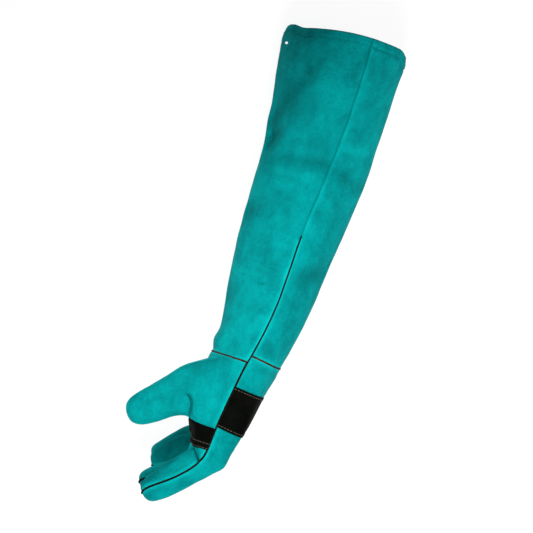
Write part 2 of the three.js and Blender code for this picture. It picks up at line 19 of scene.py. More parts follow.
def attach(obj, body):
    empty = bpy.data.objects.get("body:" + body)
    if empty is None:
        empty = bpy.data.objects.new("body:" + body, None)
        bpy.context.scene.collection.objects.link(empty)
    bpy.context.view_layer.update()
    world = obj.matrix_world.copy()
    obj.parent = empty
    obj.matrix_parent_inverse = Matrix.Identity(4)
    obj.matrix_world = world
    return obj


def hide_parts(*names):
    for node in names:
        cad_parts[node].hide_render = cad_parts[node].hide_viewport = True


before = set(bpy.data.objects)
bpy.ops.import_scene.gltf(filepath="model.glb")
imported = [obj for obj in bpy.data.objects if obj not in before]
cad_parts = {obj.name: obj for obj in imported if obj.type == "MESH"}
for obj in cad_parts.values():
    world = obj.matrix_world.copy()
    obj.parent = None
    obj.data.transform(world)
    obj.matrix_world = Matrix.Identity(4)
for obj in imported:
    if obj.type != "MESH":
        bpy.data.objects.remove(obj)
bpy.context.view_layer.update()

MM = 0.001
bpy.ops.object.select_all(action="DESELECT")
print("solids in the frame:", len(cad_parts))

# %% [markdown]
# ## Where things are
# All sizes below are millimetres measured from the middle of the wrist seam, with the sleeve along +Y, the
# palm on the side of -X and the thumb side up. One function turns them into places in the frame, in metres.

# %% From the wrist to the frame
WRIST = Vector((21.336, -103.850, 0.23))


def placed(x, y, z):
    """A place measured from the wrist, in the frame's metres."""
    return (Vector((x, y, z)) + WRIST) * MM


def mix(a, b, share):
    return a + (b - a) * share


print("wrist seam at", tuple(round(c, 3) for c in placed(0, 0, 0)))

# %% [markdown]
# ## The camera
# The glove was photographed from straight above, turned so that the sleeve leans to the right. A very long
# lens from far up keeps the upper parts, such as the index finger, the same size as those on the floor.

# %% Camera
PICTURE_SIDE = 0.6023
PICTURE_CENTRE = placed(-9.8, 109.0, 50.0)
CAMERA_HEIGHT = 12.0
CAMERA_TURN = math.radians(17.65)

bpy.ops.object.camera_add(location=(PICTURE_CENTRE.x, PICTURE_CENTRE.y, PICTURE_CENTRE.z + CAMERA_HEIGHT))
camera = bpy.context.active_object
camera.rotation_euler = (0, 0, CAMERA_TURN)
camera.data.sensor_width = 36
camera.data.lens = camera.data.sensor_width * CAMERA_HEIGHT / PICTURE_SIDE
bpy.context.scene.camera = camera
print("lens", round(camera.data.lens, 1), "mm")

# %% [markdown]
# ## Floor and light
# The floor is a grey sheet that glows white, so the outline stays clean with only a trace of a shadow. The
# strong lamp stands beyond the fingers, so its light fades along the sleeve. Four weak lamps lighten the
# palm, the thumb, the middle of the sleeve and the back of it. The world around is black.

# %% Floor and lamps
FLOOR_SIDE = 6.0
BELOW_THE_GLOVE = 0.0005
PAPER_GREY = 0.12
PAPER_GLOW = 0.93
# A lamp's name, place, the point that it faces, side, watts, and the width of its beam in degrees
LAMPS = (
    ("finger_lamp", (0.31, -0.66, 1.03), (0.0, -0.05, 0.05), 0.45, 12.9, 180),
    ("palm_lamp", (-0.36, 0.08, 0.4), (-0.03, -0.08, 0.05), 0.25, 0.17, 180),
    ("thumb_lamp", (-0.36, 0.02, 0.4), (-0.05, -0.09, 0.05), 0.25, 0.27, 70),
    ("sleeve_lamp", (-0.05, 0.05, 0.65), (0.0, 0.05, 0.05), 0.3, 0.14, 70),
    ("back_lamp", (0.5, 0.2, 0.5), (0.05, 0.2, 0.05), 0.35, 0.38, 90),
)


def principled(name, colour, roughness, specular):
    """A material whose even values sit on the shader itself, and that shader."""
    material = bpy.data.materials.new(name)
    material.use_nodes = True
    shader = material.node_tree.nodes["Principled BSDF"]
    shader.inputs["Base Color"].default_value = (*colour, 1)
    shader.inputs["Roughness"].default_value = roughness
    shader.inputs["Specular IOR Level"].default_value = specular
    return material, shader


bpy.ops.mesh.primitive_plane_add(size=FLOOR_SIDE, location=(0, 0, -BELOW_THE_GLOVE))
floor = bpy.context.active_object
floor.name = "white_floor"
paper, paper_shader = principled("white_paper", (PAPER_GREY, PAPER_GREY, PAPER_GREY), 0.95, 0.0)
paper_shader.inputs["Emission Color"].default_value = (1, 1, 1, 1)
paper_shader.inputs["Emission Strength"].default_value = PAPER_GLOW
floor.data.materials.append(paper)

for name, place, aim, side, power, beam in LAMPS:
    bpy.ops.object.light_add(type="AREA", location=place)
    light = bpy.context.active_object
    light.name = name
    light.data.shape = "SQUARE"
    light.data.size = side
    light.data.energy = power
    light.data.spread = math.radians(beam)
    light.rotation_mode = "QUATERNION"
    light.rotation_quaternion = (Vector(aim) - Vector(place)).to_track_quat("-Z", "Y")

world = bpy.data.worlds.new("dark_room")
world.use_nodes = True
world.node_tree.nodes["Background"].inputs["Strength"].default_value = 0.0
bpy.context.scene.world = world
bpy.context.scene.view_settings.view_transform = "Standard"
bpy.ops.object.select_all(action="DESELECT")

# %% [markdown]
# ## Finishes
# Split leather has a short nap: matt, cloudy in tone where it has been brushed one way or the other, and
# paler where an edge is rubbed, with a painted highlight there as well. The clouds come from noise on Object
# coordinates in three sizes. An attribute, written on each panel later, is 1 along a seam, where it brightens
# the edge with wear and a painted highlight, and below 0 in a fold, where it paints shade. Bump gives the nap
# itself.

# %% Node helpers
def add_node(material, kind, place, **values):
    """A node of the tree, with its plain sockets set by name."""
    node = material.node_tree.nodes.new("ShaderNode" + kind)
    node.location = place
    for socket, value in values.items():
        node.inputs[socket.replace("_", " ")].default_value = value
    return node


def join(output, socket):
    output.id_data.links.new(output, socket)


def noise_on_object(material, scale, detail, place, stretch=(1, 1, 1)):
    """Noise in Object coordinates, so many features to the metre."""
    x, y = place
    where = add_node(material, "TexCoord", (x - 400, y))
    turn = add_node(material, "Mapping", (x - 200, y), Scale=stretch)
    cloud = add_node(material, "TexNoise", place, Scale=scale, Detail=detail, Roughness=0.6)
    join(where.outputs["Object"], turn.inputs["Vector"])
    join(turn.outputs["Vector"], cloud.inputs["Vector"])
    return cloud.outputs[0]


def spread(material, source, low, high, place):
    """Stretches the middle of a noise to the whole range 0 to 1."""
    node = add_node(material, "MapRange", place, From_Min=low, From_Max=high)
    join(source, node.inputs["Value"])
    return node.outputs[0]


def calculate(material, operation, place, source, *numbers):
    """A Math node whose first value is another node's output."""
    node = add_node(material, "Math", place)
    node.operation = operation
    join(source, node.inputs[0])
    for socket, number in zip(node.inputs[1:], numbers):
        socket.default_value = number
    return node


def blend_colours(material, factor, a, b, place):
    """A colour mix; a and b are each a colour or a node's output."""
    node = add_node(material, "Mix", place)
    node.data_type = "RGBA"
    join(factor, node.inputs[0])
    for socket, value in ((node.inputs[6], a), (node.inputs[7], b)):
        if isinstance(value, tuple):
            socket.default_value = (*value, 1)
        else:
            join(value, socket)
    return node.outputs[2]


def bumps(material, shader, *layers):
    """Bump nodes one after another, each from a height, a strength and a distance."""
    normal = None
    for i, (height, strength, distance) in enumerate(layers):
        bump = add_node(material, "Bump", (150 * i - 150, -300), Strength=strength, Distance=distance)
        join(height, bump.inputs["Height"])
        if normal:
            join(normal, bump.inputs["Normal"])
        normal = bump.outputs["Normal"]
    join(normal, shader.inputs["Normal"])


print("bump nodes and colour mixes can be added by name")

# %% [markdown]
# The green finish adds up three noises, for clouds, brushed marks and nap, and a ramp turns their sum into
# the greens of the leather.

# %% Green split leather
GREEN_DARK = (0.0003, 0.215, 0.22)
GREEN_MIDDLE = (0.0003, 0.29, 0.294)
GREEN_LIGHT = (0.0004, 0.36, 0.362)
# A paler green for seams that are worn and painted highlit, and a dark green of painted shade for folds
GREEN_WORN_AND_HIGHLIT = (0.0008, 0.56, 0.55)
GREEN_PAINTED_FOLD_SHADE = (0.0003, 0.045, 0.047)
GREEN_SHEEN = (0.1, 0.8, 0.8, 1)
# Clouds, brushed marks and nap: features to the metre, detail, stretch, the range that is used, and the
# share of the tone
SUEDE_TONES = (
    (21, 4, (1, 1, 1), 0.36, 0.64, 0.39),
    (80, 5, (1, 0.6, 1), 0.35, 0.65, 0.33),
    (330, 4, (1, 1, 1), 0.3, 0.7, 0.28),
)
TONE_STOPS = ((0.18, GREEN_DARK), (0.5, GREEN_MIDDLE), (0.82, GREEN_LIGHT))


def suede(name):
    """Napped leather: three tones in clouds of three sizes, paler where it is rubbed and painted highlit,
    with painted shade in folds.
    """
    material, shader = principled(name, GREEN_MIDDLE, roughness=0.95, specular=0.03)
    shader.inputs["Sheen Weight"].default_value = 0.04
    shader.inputs["Sheen Roughness"].default_value = 0.5
    shader.inputs["Sheen Tint"].default_value = GREEN_SHEEN

    tone = None
    for i, (scale, detail, stretch, low, high, share) in enumerate(SUEDE_TONES):
        y = 600 - 300 * i
        clouds = noise_on_object(material, scale, detail, (-1100, y), stretch)
        clouds = spread(material, clouds, low, high, (-900, y))
        layer = calculate(material, "MULTIPLY_ADD", (150 * i - 700, y), clouds, share, 0)
        if tone:
            join(tone, layer.inputs[2])
        tone = layer.outputs[0]
    ramp = add_node(material, "ValToRGB", (-250, 200))
    ramp.color_ramp.elements.new(0.5)
    for stop, (at, colour) in zip(ramp.color_ramp.elements, TONE_STOPS):
        stop.position = at
        stop.color = (*colour, 1)
    join(tone, ramp.inputs[0])

    # Wear with a painted highlight along seams, and painted shade where the attribute is below 0
    wear_highlight_and_shade = add_node(material, "Attribute", (-250, -100))
    wear_highlight_and_shade.attribute_name = "wear_highlight_and_shade"
    fold_shade = calculate(material, "MULTIPLY", (50, -100), wear_highlight_and_shade.outputs["Fac"], -1)
    worn_and_highlit = blend_colours(material, wear_highlight_and_shade.outputs["Fac"], ramp.outputs[0], GREEN_WORN_AND_HIGHLIT, (50, 200))
    with_fold_shade = blend_colours(material, fold_shade.outputs[0], worn_and_highlit, GREEN_PAINTED_FOLD_SHADE, (250, 200))
    join(with_fold_shade, shader.inputs["Base Color"])
    bumps(
        material, shader,
        (noise_on_object(material, 900, 6, (-350, -300)), 0.5, 0.0006),
        (noise_on_object(material, 95, 5, (-350, -600)), 0.4, 0.004))
    return material


green_suede = suede("green_suede")
print("finish:", green_suede.name)

# %% [markdown]
# The black patches are a smoother grain leather, so their bump is made of small cells with creases between
# them. The welts are strips whose cut edge shows: matt, and nearly black or brown. Thread is matt too, with
# a twist in its bump.

# %% Black leather, cut edges and thread
def two_tones(name, colour, pale, size, detail, most, roughness, specular):
    """A material between two tones, its shader and the noise that mixes them."""
    material, shader = principled(name, colour, roughness, specular)
    clouds = spread(material, noise_on_object(material, size, detail, (-600, 300)), 0.35, most, (-400, 300))
    join(blend_colours(material, clouds, colour, pale, (-200, 300)), shader.inputs["Base Color"])
    return material, shader, clouds


def grain_leather(name, colour, pale):
    material, shader, _ = two_tones(name, colour, pale, 45, 4, 0.7, 0.75, 0.02)
    where = add_node(material, "TexCoord", (-800, -200))
    cells = add_node(material, "TexVoronoi", (-600, -200), Scale=620.0)
    join(where.outputs["Object"], cells.inputs["Vector"])
    wrinkles = noise_on_object(material, 130, 5, (-400, -500))
    bumps(material, shader, (cells.outputs["Distance"], 0.45, 0.0004), (wrinkles, 0.4, 0.002))
    return material


def fibrous(name, colour, pale, fineness):
    """A cut leather edge or a thread: two tones in fine fibres."""
    material, shader, fibres = two_tones(name, colour, pale, fineness, 3, 0.68, 0.85, 0.04)
    bumps(material, shader, (fibres, 0.5, 0.0003))
    return material


black_leather = grain_leather("black_grain_leather", (0.0012, 0.0017, 0.0012), (0.004, 0.0046, 0.0036))
black_welt = fibrous("black_cut_edge", (0.003, 0.005, 0.004), (0.016, 0.009, 0.006), 420)
brown_welt = fibrous("brown_cut_edge", (0.012, 0.007, 0.005), (0.085, 0.05, 0.036), 300)
grey_thread = fibrous("grey_thread", (0.055, 0.045, 0.033), (0.15, 0.125, 0.095), 900)
teal_thread = fibrous("teal_thread", (0.0005, 0.17, 0.175), (0.001, 0.28, 0.28), 900)

# %% [markdown]
# ## The skin's sections
# The whole glove is first modelled as one smooth skin, as if it had no seams. Rings of twenty corners go
# round the arm and the hand. Each table row says where a ring's two sides, its top and the upper seam are.

# %% Sleeve and palm sections
AROUND = 20
HALF = AROUND // 2

CUFF = dict(rise=388.5, tilt=0.1, bow=0.0018, fade=60)
CUFF_LOBE = dict(x=-63.5, wide=7, rise=4.0)
CUFF_CORNERS = dict(right=60, right_drop=0.058, left=-64, left_drop=0.14, fade=26)
SLEEVE_COLUMNS = ("y", "palm", "back", "seam", "top", "palm_edge", "back_edge", "pinch")
SLEEVE = [dict(zip(SLEEVE_COLUMNS, row)) for row in (
    (388, -67, 69, 28, 84, 14, 30, 0.55),
    (379, -70, 71, 28.5, 86, 15, 31, 0.55),
    (370, -72, 71, 29, 87, 16.5, 32, 0.5),
    (345, -69.5, 69, 29.3, 88.8, 20.5, 33.5, 0.37),
    (318, -65.5, 68.8, 29.2, 90, 25, 35, 0.22),
    (290, -60.8, 69.4, 28.8, 89.4, 28.5, 36.2, 0.13),
    (262, -58.2, 69.3, 27.2, 88.5, 32, 37.3, 0.06),
    (235, -54.2, 69.5, 25, 88.3, 34.6, 38.2, 0.02),
    (208, -54.1, 66.6, 22.6, 89.3, 36.3, 38.5, 0),
    (180, -53.4, 63.5, 19.3, 90.4, 38, 38.8, 0),
    (150, -52.3, 60.7, 17.2, 91.5, 39.8, 39.4, 0),
    (120, -49.2, 57.3, 16.5, 92.7, 41.5, 40.8, 0),
    (90, -47.7, 54.6, 16.9, 94, 43, 42, 0),
    (60, -43.7, 52, 14.2, 95.8, 44.4, 43.8, 0),
    (30, -38.3, 45.5, 9.6, 97.6, 45.7, 45.6, 0),
)]

# slant brings the little-finger end of a ring nearer the arm, thenar and knuckle blend from the arm's round
# section to the ball of the thumb and to the row of knuckles, back_drop lowers the middle of the back, and
# floor keeps the underside up by what is sewn on below it.
PALM_COLUMNS = ("y", "palm", "back", "seam", "top", "slant", "thenar", "knuckle", "back_drop", "floor")
PALM = [dict(zip(PALM_COLUMNS, row)) for row in (
    (4.5, -37.4, 39, 4, 99, 0, 0, 0, 6, 0.8),
    (0, -38, 38, 2.9, 100, 0, 0.1, 0, 5, 0.8),
    (-5, -43, 38.6, 2.2, 102, 1, 0.5, 0, 4.5, 1),
    (-29, -42, 32, 0.8, 105, 3, 1, 0.1, 4.5, 2.05),
    (-57, -41.5, 30.5, -2.6, 108, 7, 0.75, 0.3, 3.5, 2.05),
    (-82, -38.5, 28.2, -6, 110, 12, 0.35, 0.65, 3, 2.05),
)]

# Corners at the ball of the thumb: across is -1 at the palm and 0 at the middle, up is a share of the height
THENAR = (
    (0, 1), (-0.52, 0.97), (-0.98, 0.84), (-1, 0.66), (-0.98, 0.54), (-0.97, 0.43), (-0.97, 0.33),
    (-0.94, 0.23), (-0.85, 0.13), (-0.5, 0.02), (0, 0),
)
BACK_THENAR = 0.55
BACK_SLOPE = 3
EDGE_HEIGHT = 0.48
UNDERSIDE = dict(drop=1.16, power=0.85)


def inside(corners):
    """A smooth surface lies inside the corners that steer it, by this much on a ring."""
    return (2 + math.cos(2 * math.pi / corners)) / 3


def arm_point(row, phi, y):
    """One corner of an arm section at the angle phi, from the top towards the palm."""
    across = -math.sin(phi)
    centre = (row["palm"] + row["back"]) / 2
    reach = (row["back"] - row["palm"]) / 2 / inside(AROUND)
    usual = row["top"] * EDGE_HEIGHT
    edge = mix(row.get("palm_edge", usual), row.get("back_edge", usual), (across + 1) / 2)
    pinch = row.get("pinch", 0) * -across if across < 0 else 0
    lift = math.cos(phi)
    if lift >= 0:
        z = edge + (row["top"] - edge) / inside(AROUND) * lift ** (1 + pinch)
    else:
        z = edge * max(0, 1 - UNDERSIDE["drop"] * (-lift) ** (UNDERSIDE["power"] + pinch))
    return Vector((centre + reach * across, y, z))


def column_angles(row):
    """The palm side runs from the upper seam to the lower, and the back goes on round."""
    centre = (row["palm"] + row["back"]) / 2
    reach = (row["back"] - row["palm"]) / 2
    upper = -math.asin((row["seam"] - centre) / reach)
    return [
        mix(upper, math.pi, k / HALF) if k <= HALF else mix(math.pi, upper + 2 * math.pi, (k - HALF) / HALF)
        for k in range(AROUND)
    ]


def cuff_arch(x):
    """The cuff's edge is cut in a low arch."""
    return CUFF["rise"] + CUFF["tilt"] * x - CUFF["bow"] * x * x


def cuff_corner(x):
    """What the edge does beyond the arch: a lobe at the hang hole, and rounded corners."""
    lobe = CUFF_LOBE["rise"] * math.exp(-((x - CUFF_LOBE["x"]) / CUFF_LOBE["wide"]) ** 2)
    right = CUFF_CORNERS["right_drop"] * max(0, x - CUFF_CORNERS["right"]) ** 2
    left = CUFF_CORNERS["left_drop"] * max(0, CUFF_CORNERS["left"] - x) ** 2
    return lobe - right - left


def cuff_line(x):
    return cuff_arch(x) + cuff_corner(x)


def sleeve_ring(row):
    points = [arm_point(row, phi, row["y"]) for phi in column_angles(row)]
    share = max(0, 1 - (SLEEVE[0]["y"] - row["y"]) / CUFF["fade"])
    for p in points:
        p.y += (cuff_arch(p.x) - SLEEVE[0]["y"]) * share
    return points


print("rings along the sleeve and the palm:", len(SLEEVE) + len(PALM))

# %% [markdown]
# ## Fingers and thumb
# A finger is a run of eight-cornered rings along a centreline that bends towards the palm, because the
# glove is made half closed. Its upper seam is turned a little towards the palm or the back, as the sewing
# pulls it. The thumb has ten corners, so that its seam can run round the ball of the thumb.

# %% Finger and thumb sections
FINGER_CORNERS = 8
THUMB_CORNERS = 10
FINGER_COLUMNS = (
    "name", "x", "y", "z", "z_tip", "thick", "wide", "length", "start", "curl", "bend", "turned",
)
FINGERS = [dict(zip(FINGER_COLUMNS, row)) for row in (
    ("index", -6, -109, 97, 99, 22.8, 13.8, 95, 0, 46.5, 21, 0),
    ("middle", -9, -112, 69.3, 70, 21.5, 13.4, 91, 12, 60, 40, 0.05),
    ("ring", -14.5, -97.5, 41.8, 41.5, 22.5, 13.4, 72, 29, 52, 26, -0.7),
    ("little", -17.5, -92, 14.4, 14, 20.5, 13.4, 70, 35, 51, 20, -0.55),
)]
FINGER_ROWS = [dict(zip(("at", "thick", "back", "wide", "seam"), row)) for row in (
    (0.15, 0.99, 0.74, 0.96, 0.22), (0.33, 0.92, 0.75, 0.97, 0.02), (0.58, 0.83, 0.9, 0.97, 0.02),
    (0.8, 0.7, 0.93, 0.92, 0.28), (0.94, 0.56, 1, 0.72, 0.42),
)]
THUMB = [dict(zip(("x", "y", "z", "turn", "wide", "thick"), row)) for row in (
    (-54, -48.5, 86, 76, 29.8, 18.5), (-69, -62.5, 84, 68, 24, 17.5), (-83.5, -76, 82, 64, 21, 16.5),
    (-97, -87, 82, 62, 19, 14), (-107.5, -92.5, 82, 64, 14, 9.5),
)]
THUMB_TIP = (-114, -94.5, 82)
TIP_HALF = 0.35
LOWEST_FINGER = 1.0


def knuckle_ring():
    """The row of knuckles as a ring of corners round the four fingers, from the upper seam."""
    first, last = FINGERS[0], FINGERS[-1]
    floor_height = PALM[-1]["floor"]

    def corner(f, across, up):
        """A corner beside a finger: across in shares of its thickness, up in shares of its width."""
        z = max(floor_height, f["z"] + up * f["wide"] / inside(FINGER_CORNERS))
        return Vector((f["x"] + across * f["thick"] / inside(FINGER_CORNERS), f["y"], z))

    def side(sign):
        points = [corner(first, 0.72 * sign, 0.74)]
        for f, following in zip(FINGERS, FINGERS[1:] + [None]):
            points.append(corner(f, sign, 0))
            if following:
                points.append(corner(f, 0.8 * sign, 0).lerp(corner(following, 0.8 * sign, 0), 0.5))
        return points + [corner(last, 0.72 * sign, -0.9)]

    return [corner(first, -0.25, 1), *side(-1), corner(last, 0, -1), *reversed(side(1))]


def palm_ring(row, knuckles):
    centre = (row["palm"] + row["back"]) / 2
    reach = (row["back"] - row["palm"]) / 2 / inside(AROUND)
    points = []
    for k, phi in enumerate(column_angles(row)):
        arm = arm_point(row, phi, row["y"])
        front = k <= HALF
        across, up = THENAR[k if front else AROUND - k]
        ball = Vector((centre + reach * across * (1 if front else -1), row["y"], up * row["top"]))
        if across == 0:
            ball.x = arm.x
        p = arm.lerp(ball, row["thenar"] * (1 if front else BACK_THENAR))
        q = knuckles[k].copy()
        q.x = centre + (q.x - FINGERS[0]["x"]) * reach / (FINGERS[0]["thick"] / inside(FINGER_CORNERS))
        q.y = row["y"]
        p = p.lerp(q, row["knuckle"])
        p.z = max(row["floor"], p.z)
        p.y += row["slant"] * (1 - p.z / row["top"])
        if not front:
            p.y -= row["back_drop"] * min(1, (AROUND - k) / BACK_SLOPE, (k - HALF) / BACK_SLOPE)
        points.append(p)
    return points


def along_finger(f, distance):
    """The finger's centreline, followed in steps of a millimetre while it turns towards the palm."""
    x, y, angle = f["x"], f["y"], f["start"]
    for s in range(math.ceil(distance)):
        t = min(1, s / f["bend"])
        angle = mix(f["start"], f["curl"], t * t * (3 - 2 * t))
        x -= math.sin(math.radians(angle))
        y -= math.cos(math.radians(angle))
    return Vector((x, y, mix(f["z"], f["z_tip"], distance / f["length"]))), math.radians(angle)


def finger_ring(f, row):
    """Eight corners: the upper seam, three on the palm side, the lower seam, three on the back."""
    centre, angle = along_finger(f, row["at"] * f["length"])
    points = []
    for i in range(FINGER_CORNERS):
        phi = i * 2 * math.pi / FINGER_CORNERS
        out = row["seam"] + f["turned"] if i == 0 else math.sin(phi)
        out = out * row["thick"] * f["thick"] / inside(FINGER_CORNERS)
        if out < 0:
            out *= row["back"]
        up = math.cos(phi) * row["wide"] * f["wide"] / inside(FINGER_CORNERS)
        x, y = centre.x - out * math.cos(angle), centre.y + out * math.sin(angle)
        points.append(Vector((x, y, max(LOWEST_FINGER, centre.z + up))))
    return points


def thumb_ring(row):
    """Ten corners from the seam on the arm's side over the top to the seam on the finger's side."""
    turn = math.radians(row["turn"])
    points = []
    for i in range(THUMB_CORNERS):
        phi = i * 2 * math.pi / THUMB_CORNERS
        out = math.cos(phi) * row["wide"] / inside(THUMB_CORNERS)
        up = math.sin(phi) * row["thick"] / inside(THUMB_CORNERS)
        x, y = row["x"] - out * math.cos(turn), row["y"] + out * math.sin(turn)
        points.append(Vector((x, y, row["z"] + up)))
    return points


print("fingers:", [f["name"] for f in FINGERS])

# %% [markdown]
# ## Pulling the skin out of a circle
# As by hand: a circle with twenty corners is set on the cuff's section, and its edge is extruded again and
# again, each time onto the next section. Each corner keeps a tag, its ring's number times 100 plus its
# place in the ring, so that the code can pick corners up again. Each new face is told which leather panel
# it belongs to.

# %% Helpers that extrude a ring
PANELS = [
    "sleeve_front", "sleeve_back", "palm_panel", "hand_back", "thumb_inner", "index_front", "middle_front",
    "ring_front", "little_front",
]
TAGS_A_RING = 100
WEB_TAG = 9000
ring_numbers = itertools.count(1)


def edit_skin():
    """The skin's mesh in edit mode, with the layers of its corner tags and its panel numbers."""
    cage = bmesh.from_edit_mesh(skin.data)
    return cage, cage.verts.layers.int["tag"], cage.faces.layers.int["panel"]


def select_corners(tags):
    """Selects the corners with these tags and nothing else."""
    cage, tag, _ = edit_skin()
    for item in (*cage.faces, *cage.edges):
        item.select_set(False)
    for corner in cage.verts:
        corner.select_set(corner[tag] in tags)
    cage.select_flush(True)
    bmesh.update_edit_mesh(skin.data)


def extrude_ring(ring, points, front, back):
    """Extrudes a ring onto the next section, half in each of two panels, and returns its tags."""
    select_corners(ring)
    bpy.ops.mesh.extrude_region_move()
    cage, tag, panel = edit_skin()
    first = next(ring_numbers) * TAGS_A_RING
    place_of = {corner: ring.index(corner[tag]) for corner in cage.verts if corner.select}
    for corner, place in place_of.items():
        corner.co = placed(*points[place])
        corner[tag] = first + place
    for face in cage.faces:
        places = sorted(place_of[v] for v in face.verts if v in place_of)
        if len(places) == 2:
            wraps = places == [0, len(ring) - 1]
            in_front = places[1 if wraps else 0] < len(ring) // 2
            face[panel] = PANELS.index(front if in_front else back)
    bmesh.update_edit_mesh(skin.data)
    return [first + place for place in range(len(ring))]


def extrude_corner(tag_from, tag_to, place):
    """Extrudes one corner to a new place and tags it."""
    select_corners([tag_from])
    bpy.ops.mesh.extrude_region_move()
    cage, tag, _ = edit_skin()
    for corner in [v for v in cage.verts if v.select]:
        corner.co = placed(*place)
        corner[tag] = tag_to
    bmesh.update_edit_mesh(skin.data)


def fill_face(tags, panel_name):
    """Fills a face between corners, as the F key does."""
    select_corners(tags)
    bpy.ops.mesh.edge_face_add()
    cage, tag, panel = edit_skin()
    for face in cage.faces:
        if {v[tag] for v in face.verts} == set(tags):
            face[panel] = PANELS.index(panel_name)
    bmesh.update_edit_mesh(skin.data)


print("panels:", len(PANELS))

# %% Sleeve and palm
FIRST_CIRCLE = dict(radius=70, height=45)
bpy.ops.mesh.primitive_circle_add(
    vertices=AROUND, radius=FIRST_CIRCLE["radius"] * MM,
    location=placed(0, SLEEVE[0]["y"], FIRST_CIRCLE["height"]))
bpy.ops.object.transform_apply(location=True)
skin = bpy.context.active_object
skin.name = "skin"
bpy.ops.object.mode_set(mode="EDIT")
bpy.ops.mesh.select_mode(type="VERT")
cage = bmesh.from_edit_mesh(skin.data)
cage.verts.layers.int.new("tag")
cage.faces.layers.int.new("panel")
cage, tag, _ = edit_skin()
for k, (corner, point) in enumerate(zip(cage.verts, sleeve_ring(SLEEVE[0]))):
    corner.co = placed(*point)
    corner[tag] = k
bmesh.update_edit_mesh(skin.data)

ring = list(range(AROUND))
for row in SLEEVE[1:]:
    ring = extrude_ring(ring, sleeve_ring(row), "sleeve_front", "sleeve_back")
# The wrist seam is one row lower on the front than on the back
knuckles = knuckle_ring()
palm_sides = [("sleeve_front", "sleeve_back"), ("sleeve_front", "hand_back")]
palm_sides += [("palm_panel", "hand_back")] * (len(PALM) - 2)
palm_rings = []
for row, sides in zip(PALM, palm_sides):
    ring = extrude_ring(ring, palm_ring(row, knuckles), *sides)
    palm_rings.append(ring)
knuckle_tags = extrude_ring(ring, knuckles, "palm_panel", "hand_back")
print("faces so far:", len(edit_skin()[0].faces))

# %% [markdown]
# Between two fingers the skin has to close. A short edge is laid across the ring of knuckles there and cut
# in the middle, and its middle corner sinks into the web. Every finger then has its own ring of eight
# corners to start from.

# %% Fingers
WEB_SINKS = Vector((-2, -3, 0))
web_tags = []
for i, (finger, following) in enumerate(zip(FINGERS, FINGERS[1:])):
    ends = {knuckle_tags[3 + 2 * i], knuckle_tags[AROUND - 3 - 2 * i]}
    select_corners(ends)
    bpy.ops.mesh.edge_face_add()
    bpy.ops.mesh.subdivide(number_cuts=1)
    cage, tag, _ = edit_skin()
    middle_corners = (v for v in cage.verts if len(v.link_edges) == 2)
    web = next(v for v in middle_corners if {e.other_vert(v)[tag] for e in v.link_edges} == ends)
    here, there = (Vector((f["x"], f["y"], f["z"])) for f in (finger, following))
    web.co = placed(*((here + there) / 2 + WEB_SINKS))
    web[tag] = WEB_TAG + i
    web_tags.append(web[tag])
    bmesh.update_edit_mesh(skin.data)

for i, finger in enumerate(FINGERS):
    front = [1 + 2 * i, 2 + 2 * i, 3 + 2 * i]
    upper = knuckle_tags[0] if i == 0 else web_tags[i - 1]
    lower = knuckle_tags[HALF] if i == len(FINGERS) - 1 else web_tags[i]
    ring = [upper, *(knuckle_tags[k] for k in front), lower]
    ring += [knuckle_tags[AROUND - k] for k in reversed(front)]
    sides = (finger["name"] + "_front", "hand_back")
    for row in FINGER_ROWS:
        ring = extrude_ring(ring, finger_ring(finger, row), *sides)
    tip_tag = ring[0] + TAGS_A_RING - 1
    tip, _ = along_finger(finger, finger["length"])
    extrude_corner(ring[0], tip_tag, tip)
    for k in range(0, 8, 2):
        fill_face([tip_tag, ring[k], ring[k + 1], ring[(k + 2) % 8]], sides[k // 4])
print("faces with fingers:", len(edit_skin()[0].faces))

# %% [markdown]
# The thumb grows out of the palm. Six faces at the ball of the thumb are taken away, and the ten corners
# round the gap are extruded along the thumb. Two corners inside the last ring close its flat, round tip
# with four-sided faces.

# %% Thumb
rows_at_thumb = palm_rings[2:6]
block = {ring[k] for ring in rows_at_thumb for k in (1, 2, 3)}
select_corners([])
cage, tag, _ = edit_skin()
for face in cage.faces:
    face.select_set({v[tag] for v in face.verts} <= block)
bmesh.update_edit_mesh(skin.data)
bpy.ops.mesh.delete(type="FACE")

first, second, third, fourth = rows_at_thumb
ring = [
    first[2], first[1], second[1], third[1], fourth[1], fourth[2], fourth[3], third[3], second[3], first[3],
]
for row in THUMB:
    ring = extrude_ring(ring, thumb_ring(row), "palm_panel", "thumb_inner")
near, far = ring[0] + TAGS_A_RING - 1, ring[0] + TAGS_A_RING - 2
turn = math.radians(THUMB[-1]["turn"])
for tag_from, tip_tag, share in ((ring[0], near, TIP_HALF), (near, far, -TIP_HALF)):
    reach = share * THUMB[-1]["wide"]
    extrude_corner(tag_from, tip_tag, (
        THUMB_TIP[0] - reach * math.cos(turn), THUMB_TIP[1] + reach * math.sin(turn), THUMB_TIP[2]))
fill_face((near, ring[2], ring[1], ring[0]), "palm_panel")
fill_face((far, ring[3], ring[2], near), "palm_panel")
fill_face((ring[5], ring[4], ring[3], far), "palm_panel")
fill_face((near, ring[0], ring[9], ring[8]), "thumb_inner")
fill_face((far, near, ring[8], ring[7]), "thumb_inner")
fill_face((ring[5], far, ring[7], ring[6]), "thumb_inner")

bpy.ops.mesh.select_all(action="SELECT")
bpy.ops.mesh.normals_make_consistent(inside=False)
bpy.ops.object.mode_set(mode="OBJECT")
print("corners and faces of the cage:", len(skin.data.vertices), len(skin.data.polygons))

# %% [markdown]
# ## Smoothing the skin
# Subdivision Surface turns the coarse cage into the smooth skin, and is applied so that folds can be
# pressed into the real mesh. The side of each panel is kept as a number on its faces.

# %% Subdivision
SMOOTH_LEVELS = 3
smoother = skin.modifiers.new("smooth", "SUBSURF")
smoother.levels = SMOOTH_LEVELS
smoother.render_levels = SMOOTH_LEVELS
bpy.ops.object.modifier_apply(modifier="smooth")
panel_numbers = {d.value for d in skin.data.attributes["panel"].data}
print("skin faces:", len(skin.data.polygons), "panels:", sorted(panel_numbers))

